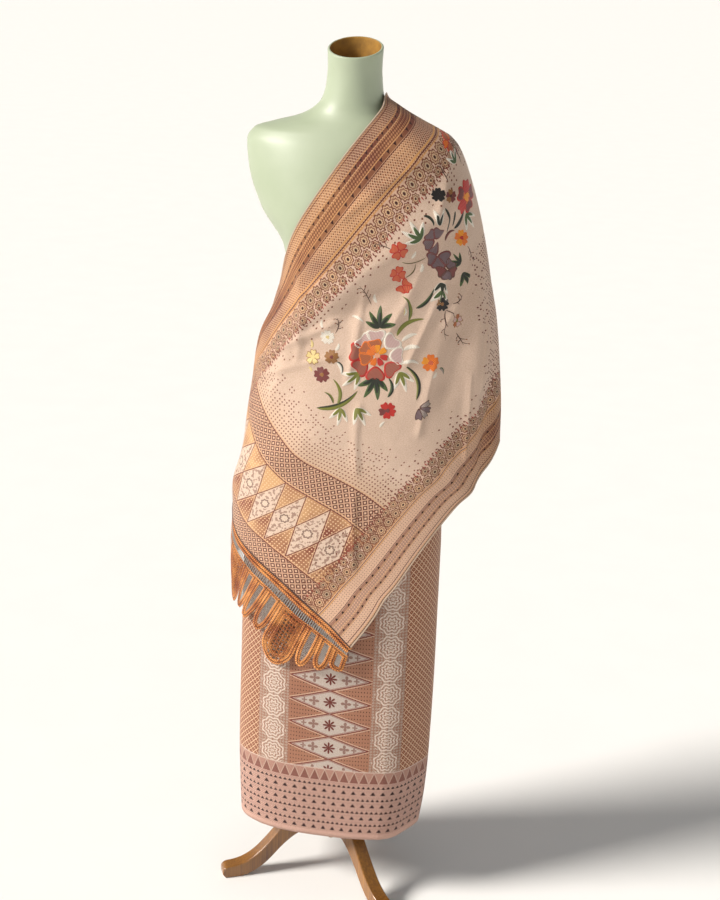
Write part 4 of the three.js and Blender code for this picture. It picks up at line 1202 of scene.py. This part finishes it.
# %% Petals and blades
THREADS = {
    "white": "#F1EBDD", "cream": "#EBD692", "olive": "#7E8230", "dark": "#232A1A", "green": "#4A6230",
    "black": "#1C1614", "brown": "#A0703C", "maroon": "#7C3A36", "red": "#C62A1E", "coral": "#D2623E",
    "orange": "#EF7C24", "yellow": "#F7A022", "peach": "#F7B084", "mauve": "#756064", "pink": "#D3B4AE",
    "grey": "#A3968F", "rust": "#B5663C", "copper": "#A6604E", "stem": "#5A3426",
}


def threads(names):
    """The linear colours of threads, one row each."""
    return np.array([linear(THREADS[name]) for name in names])


def towards(at, heading, reach):
    """The place a reach away: the reach times the heading's cosine to the right, and times its sine up."""
    return at[0] + reach * np.cos(heading), at[1] + reach * np.sin(heading)


def on_curve(a, b, c, s):
    """A quadratic curve: (1 - s)^2 of its start, 2 s (1 - s) of its bend and s^2 of its end."""
    return a * (1 - s) ** 2 + 2 * b * s * (1 - s) + c * s**2


PETAL_POINTS, BLADE_POINTS = 24, 15


def petal(middle, heading, length, width, fill, rim, notch, lift):
    """A domed petal: rings shrunk towards its own middle, its end drawn in by a notch."""
    turn = np.linspace(0, 2 * np.pi, PETAL_POINTS + 1)[:-1]
    from_end = np.minimum(turn, 2 * np.pi - turn)
    reach = length * (0.5 + 0.5 * np.cos(turn)) * (1 - notch * np.exp(-((from_end / 0.42) ** 2)))
    aside = width / 2 * np.sin(turn) * (0.72 + 0.28 * np.cos(turn))
    share = np.array([1.0, 1.0, 0.86, 0.72, 0.45, 0.15])[:, None]
    p = 0.55 * length + share * (reach - 0.55 * length)
    q = share * aside
    cosine, sine = np.cos(heading), np.sin(heading)
    flat = np.stack([middle[0] + p * cosine - q * sine, middle[1] + p * sine + q * cosine], -1)
    rise = lift * np.array([-2.0, 0.9, 1.7, 1.2, 1.5, 1.6])[:, None] + 0 * q
    colours = threads([rim, rim, rim, fill, fill, fill])[:, None] + np.zeros((1, PETAL_POINTS, 1))
    faces = grid_faces(6, PETAL_POINTS, closed=True).tolist()
    faces.append(list(range(5 * PETAL_POINTS, 6 * PETAL_POINTS)))
    uv = np.stack([p, q], -1)
    return flat.reshape(-1, 2), faces, rise.ravel(), uv.reshape(-1, 2), colours.reshape(-1, 4)


def blade(start_at, bend, end_at, width, near, far, lift=0.3):
    """A leaf along a quadratic curve: its half width is the square root of a sine."""
    s = np.linspace(0, 1, BLADE_POINTS)[:, None]
    spine = on_curve(*(np.array(point, float) for point in (start_at, bend, end_at)), s)
    tangent = np.gradient(spine, axis=0)
    tangent /= np.linalg.norm(tangent, axis=1, keepdims=True)
    normal = np.stack([-tangent[:, 1], tangent[:, 0]], -1)
    across = np.array([-1.0, -1.0, -0.5, 0.0, 0.5, 1.0, 1.0])[None, :]
    half = width / 2 * np.sqrt(np.clip(np.sin(np.pi * s), 0.004, 1)) * (1.15 - 0.5 * s)
    flat = spine[:, None] + normal[:, None] * (half * across)[..., None]
    rise = lift * np.array([-2.0, 0.7, 1.5, 1.0, 1.5, 0.7, -2.0])[None, :] * np.clip(half / 0.6, 0.3, 1)
    colours = threads([near, near, near, near, far, far, far])[None] + np.zeros((BLADE_POINTS, 1, 1))
    run = lengths_along(spine, 0)[:, None] + 0 * across
    uv = np.stack([run + 0.8 * np.abs(half * across), half * across], -1)
    faces = grid_faces(BLADE_POINTS, across.size)[:, ::-1].tolist()
    return flat.reshape(-1, 2), faces, rise.ravel(), uv.reshape(-1, 2), colours.reshape(-1, 4)


print("threads:", ", ".join(THREADS))


# %% Flowers, leaves and stems
def flower(middle, radius, fills, rim, core, petals=5, turn=0.3, hollow=0.04, spread=0.86):
    """Petals round a middle, their fills taken in turn, and a small round heart; spread widens the petals."""
    made = []
    for i in range(petals):
        heading = turn + 2 * np.pi * i / petals
        begin = towards(middle, heading, hollow * radius)
        fill = fills[i % len(fills)]
        width = 2 * radius * np.sin(np.pi / max(petals, 5)) * spread
        lift = 0.22 + 0.03 * (i % 2)
        made.append(petal(begin, heading, radius * (1 - hollow), width, fill, rim or fill, 0.2, lift))
    if core:
        begin = (middle[0] - 0.24 * radius, middle[1])
        made.append(petal(begin, 0.0, 0.48 * radius, 0.6 * radius, core, core, 0.0, 0.42))
    return made


def leaf_fan(middle, degrees, length, pale, deep, count):
    """A few pointed leaves from one place, the middle one longest, each deep thread inside a pale rim."""
    made = []
    for i in range(count):
        heading = np.radians(degrees) + (i - (count - 1) / 2) * 0.62
        long = length * (1 - 0.16 * abs(i - (count - 1) / 2))
        tip = towards(middle, heading, long)
        bend = towards(middle, heading + 0.16, 0.5 * long)
        made.append(blade(middle, bend, tip, length * 0.26, pale, pale, 0.22))
        within_tip = towards(middle, heading, 0.7 * long)
        made.append(blade(middle, bend, within_tip, length * 0.18, deep, deep, 0.36))
    return made


def sprig(start_at, bend, end_at, twigs=4):
    """A thin stem with short curled twigs to either side and a knot at the end of each."""
    made = [blade(start_at, bend, end_at, 1.7, "stem", "stem", 0.25)]
    a, b, c = (np.array(point, float) for point in (start_at, bend, end_at))
    for i in range(twigs):
        s = 0.3 + 0.65 * i / twigs
        at = on_curve(a, b, c, s)
        ahead = (b - a) * (1 - s) + (c - b) * s
        heading = np.arctan2(ahead[1], ahead[0]) + (0.9 if i % 2 else -0.9)
        tip = towards(at, heading, 8)
        made.append(blade(at, towards(at, heading - 0.4, 5), tip, 1.3, "stem", "stem", 0.25))
        made.append(petal((tip[0] - 0.7, tip[1] - 0.7), 0.0, 2.4, 2.6, "rust", "stem", 0.0, 0.3))
    return made


print("a flower of five petals and a heart has", len(flower((0, 0), 10, ["red"], None, "rust")), "parts")


# %% The large flower and what is round it
def large_flower(middle, size):
    """Three rings: pale and red two-lobed petals, copper ones over their feet, and a bright heart."""
    x, y = middle
    ring = [
        (95, 27, "pink", "white"), (48, 27, "pink", "white"), (2, 25, "pink", "white"),
        (-42, 26, "copper", "red"), (-92, 26, "copper", "red"), (-140, 27, "copper", "red"),
        (172, 27, "copper", "red"), (134, 25, "pink", "white"),
    ]
    made = []
    for degrees, long, fill, rim in ring:
        heading = np.radians(degrees)
        begin = (x + 19 * size * np.cos(heading), y + 17 * size * np.sin(heading))
        made.append(petal(begin, heading, long * size, 41 * size, fill, rim, 0.2, 0.26))
    for degrees, long in ((150, 26), (196, 24), (104, 22)):
        heading = np.radians(degrees)
        begin = towards(middle, heading, 6 * size)
        made.append(petal(begin, heading, long * size, 30 * size, "rust", "orange", 0.14, 0.42))
    bright = {
        88: "yellow", 40: "yellow", -12: "red", -62: "red", -112: "orange", 158: "orange", 118: "orange",
    }
    for degrees, fill in bright.items():
        heading = np.radians(degrees)
        begin = towards(middle, heading, 4)
        made.append(petal(begin, heading, 15 * size, 12 * size, fill, fill, 0.12, 0.58))
    made.append(petal((x - 4, y), 0.0, 9 * size, 9 * size, "peach", "peach", 0.0, 0.8))
    return made


def leaves(fans, blades):
    """Fans of leaves and single blades, each from a row of its table."""
    made = []
    for fan in fans:
        made += leaf_fan(*fan)
    return made + [blade(*line) for line in blades]


def lower_spray():
    """Flowers, blades and leaves round the large flower, in mm right and up from its middle."""
    fans = (
        ((3, 50), 88, 39, "green", "dark", 5), ((-30, -32), 222, 39, "white", "olive", 3),
        ((-2, -40), 262, 44, "green", "dark", 4), ((40, -28), 292, 39, "white", "olive", 3),
        ((-60, -98), 262, 34, "white", "olive", 3), ((-33, -96), 300, 37, "white", "olive", 3),
    )
    blades = (
        ((33, 36), (42, 66), (79, 67), 8, "olive", "olive"),
        ((52, 64), (62, 89), (40, 107), 7, "olive", "green"),
        ((-103, -102), (-55, -102), (-31, -65), 10, "olive", "dark"),
        ((-66, -93), (-53, -68), (-75, -47), 7, "olive", "olive"),
        ((-73, -91), (-75, -75), (-90, -72), 5, "olive", "dark"),
        ((73, -78), (86, -36), (48, -16), 8, "dark", "olive"),
        ((22, -74), (37, -57), (22, -39), 7, "dark", "green"),
        ((42, 27), (55, 41), (68, 40), 7, "white", "white"),
        ((46, 11), (59, 23), (74, 16), 8, "white", "white"),
        ((44, -13), (59, -2), (74, -13), 7, "white", "white"),
        ((-46, 67), (-33, 68), (-26, 58), 5, "white", "white"),
        ((43, 73), (49, 80), (41, 88), 7, "white", "cream"),
        ((-2, 93), (-8, 100), (-5, 108), 6, "white", "white"),
        ((-73, 5), (-66, 10), (-68, 18), 6, "white", "white"),
        ((-70, -16), (-58, -22), (-61, -37), 8, "white", "dark"),
        ((98, -38), (107, -34), (106, -28), 7, "white", "white"),
        ((113, -22), (124, -22), (126, -34), 6, "grey", "green"),
        ((11, -129), (14, -122), (19, -118), 5, "white", "white"),
        ((-117, 5), (-113, 12), (-118, 19), 5, "cream", "cream"),
        ((-120, -30), (-114, -32), (-116, -38), 5, "cream", "cream"),
        ((-96, 44), (-101, 50), (-98, 57), 5, "white", "white"),
    )
    made = leaves(fans, blades)
    made += flower((-88, 27), 14, ["white"], None, "cream")
    made += flower((-113, -11), 15, ["cream"], "brown", "cream")
    made += flower((-79, -7), 14, ["brown"], None, "maroon")
    made += flower((-96, -41), 16, ["maroon"], None, "brown", turn=0.6)
    made += flower((94, -11), 17, ["orange", "orange", "yellow"], None, "coral")
    made += flower((23, -98), 17, ["red", "red", "maroon"], None, "maroon", turn=0.9)
    made += flower((78, -92), 25, ["grey", "mauve"], "stem", "green", petals=9, turn=2.6)[3:7]
    made += sprig((-11, 88), (-20, 109), (-35, 123), 6) + sprig((-75, 34), (-64, 50), (-73, 64), 4)
    return made + large_flower((0, 0), 1.12)


print("the lower spray has", len(lower_spray()), "parts")


# %% The flowers up to the shoulder
def upper_spray():
    """The smaller flowers between the large one and the shoulder."""
    made = flower((41, 126), 15, ["coral"], "red", None, turn=-1.9, spread=1.15)[:3]
    made += flower((110, 93), 14, ["black", "black", "brown"], None, "brown")
    made += flower((145, 61), 14, ["pink", "rust"], "brown", "olive")
    made += flower((29, 188), 17, ["coral"], "red", None, petals=4, turn=1.2, spread=1.1)
    made += flower((34, 146), 16, ["coral"], "red", None, petals=4, turn=1.4, spread=1.1)
    made += flower((92, 206), 23, ["mauve"], "maroon", None, turn=1.2, spread=1.1)[:3]
    made += flower((104, 178), 25, ["mauve"], "maroon", None, turn=2.2, spread=1.15)[:4]
    made += flower((118, 154), 21, ["maroon", "mauve"], "stem", None, turn=3.4, spread=1.15)[:4]
    made += flower((151, 205), 15, ["orange", "yellow"], None, "red")
    made += flower((157, 272), 31, ["maroon", "red"], "red", "yellow")
    made += flower((157, 272), 14, ["orange", "red"], None, "yellow", hollow=0.1)
    made += flower((93, 280), 12, ["black"], None, "black")
    made += flower((116, 277), 12, ["maroon", "brown"], None, "stem")
    made += flower((116, 362), 17, ["orange", "rust"], "red", None, turn=1.0)[:4]
    fans = (
        ((106, 131), 268, 30, "white", "dark", 3), ((131, 328), 125, 30, "white", "green", 3),
        ((66, 208), 140, 39, "white", "green", 4), ((98, 230), 98, 32, "white", "dark", 2),
        ((146, 164), 150, 23, "green", "dark", 4), ((150, 146), 290, 30, "green", "dark", 3),
        ((160, 244), 312, 34, "white", "green", 3), ((106, 118), 265, 32, "white", "green", 3),
    )
    blades = (
        ((64, 86), (86, 93), (95, 121), 7, "dark", "green"),
        ((69, 247), (82, 247), (86, 230), 5, "dark", "dark"),
        ((104, 259), (121, 241), (120, 216), 5, "dark", "dark"),
        ((127, 252), (132, 241), (131, 226), 5, "dark", "dark"),
        ((136, 222), (152, 230), (153, 252), 8, "black", "dark"),
        ((119, 202), (121, 221), (138, 218), 6, "maroon", "stem"),
        ((38, 168), (62, 159), (81, 177), 1.8, "stem", "olive"),
        ((47, 139), (64, 148), (65, 165), 1.8, "stem", "olive"),
        ((124, 357), (141, 343), (147, 325), 1.8, "stem", "dark"),
        ((55, 175), (61, 178), (61, 187), 7, "white", "white"),
        ((70, 151), (76, 156), (73, 165), 7, "white", "white"),
        ((117, 82), (127, 78), (139, 66), 1.8, "stem", "stem"),
    )
    made += leaves(fans, blades)
    for line in (
        ((110, 298), (104, 314), (93, 330)), ((17, 190), (3, 198), (-14, 199)),
        ((161, 191), (172, 180), (178, 160)), ((117, 82), (110, 59), (121, 27)),
        ((128, 93), (139, 95), (144, 108)), ((147, 39), (153, 30), (157, 18)),
    ):
        made += sprig(*line)
    return made


print("the upper spray has", len(upper_spray()), "parts")


# %% Laying the embroidery on the cloth
def stitched(name, from_back, parts, middle, mirrored=1.0):
    """Lays flat parts on the cloth: the place of each point, plus its rise along the cloth's normal."""
    flat, faces, rise, uv, colours = gather(parts)
    arc, z = middle[0] + mirrored * flat[:, 0], middle[1] + flat[:, 1]
    t, v = find_place(from_back, arc, z)
    points, _ = on_cloth(from_back, t, v, rise[:, None])
    if (mirrored < 0) != from_back:
        faces = [face[::-1] for face in faces]
    return make_piece(name, points, faces, uv, colours, material=stranded, slot="shawl_cloth")


# Stranded mercerised cotton in satin stitch: parallel threads a third of a millimetre thick, drawn twice as
# coarse, that catch the light along their crowns.
stranded = start("stranded_cotton_satin_stitch")
_, along, aside = cloth_axes()
lay = add("ADD", along, add("MULTIPLY", aside, 0.35))
strands = add("SINE", add("MULTIPLY", lay, 2 * np.pi / 2.2))
dyed = add("Attribute", attribute_name="thread")
shade = add("MixRGB", 0.75, dyed, "#8A6A58", blend_type="MULTIPLY")
finish_surface(
    add("MixRGB", add("MULTIPLY_ADD", strands, 0.5, 0.6, use_clamp=True), shade, dyed), 0.42, strands, 0.16,
    sheen_weight=0.03, specular_ior_level=0.45,
)
embroidery = [
    stitched("embroidery_front_large_flower", False, lower_spray(), PANEL_MIDDLE),
    stitched("embroidery_front_shoulder", False, upper_spray(), PANEL_MIDDLE),
]
for name, t, v in (("embroidery_back_shoulder", 0.74, 0.53), ("embroidery_back_end", 0.42, 0.5)):
    arc, z, _ = shawl_place(True, np.array([t]), np.array([v]))
    embroidery.append(stitched(name, True, lower_spray(), (arc[0], z[0]), mirrored=-1.0 if t > 0.5 else 1.0))

# %% [markdown]
# ## How long the shawl is
# The flat length of each stretch of the shawl, averaged over its width, is worked out from its cloth grid.

# %% The shawl's lengths, in metres
for side, run in (("front", front_run[:, -1]), ("back", back_run[:, -1])):
    print(f"the shawl's {side} stretch is {run.mean() / 1000:.3f} m long on average over its width")
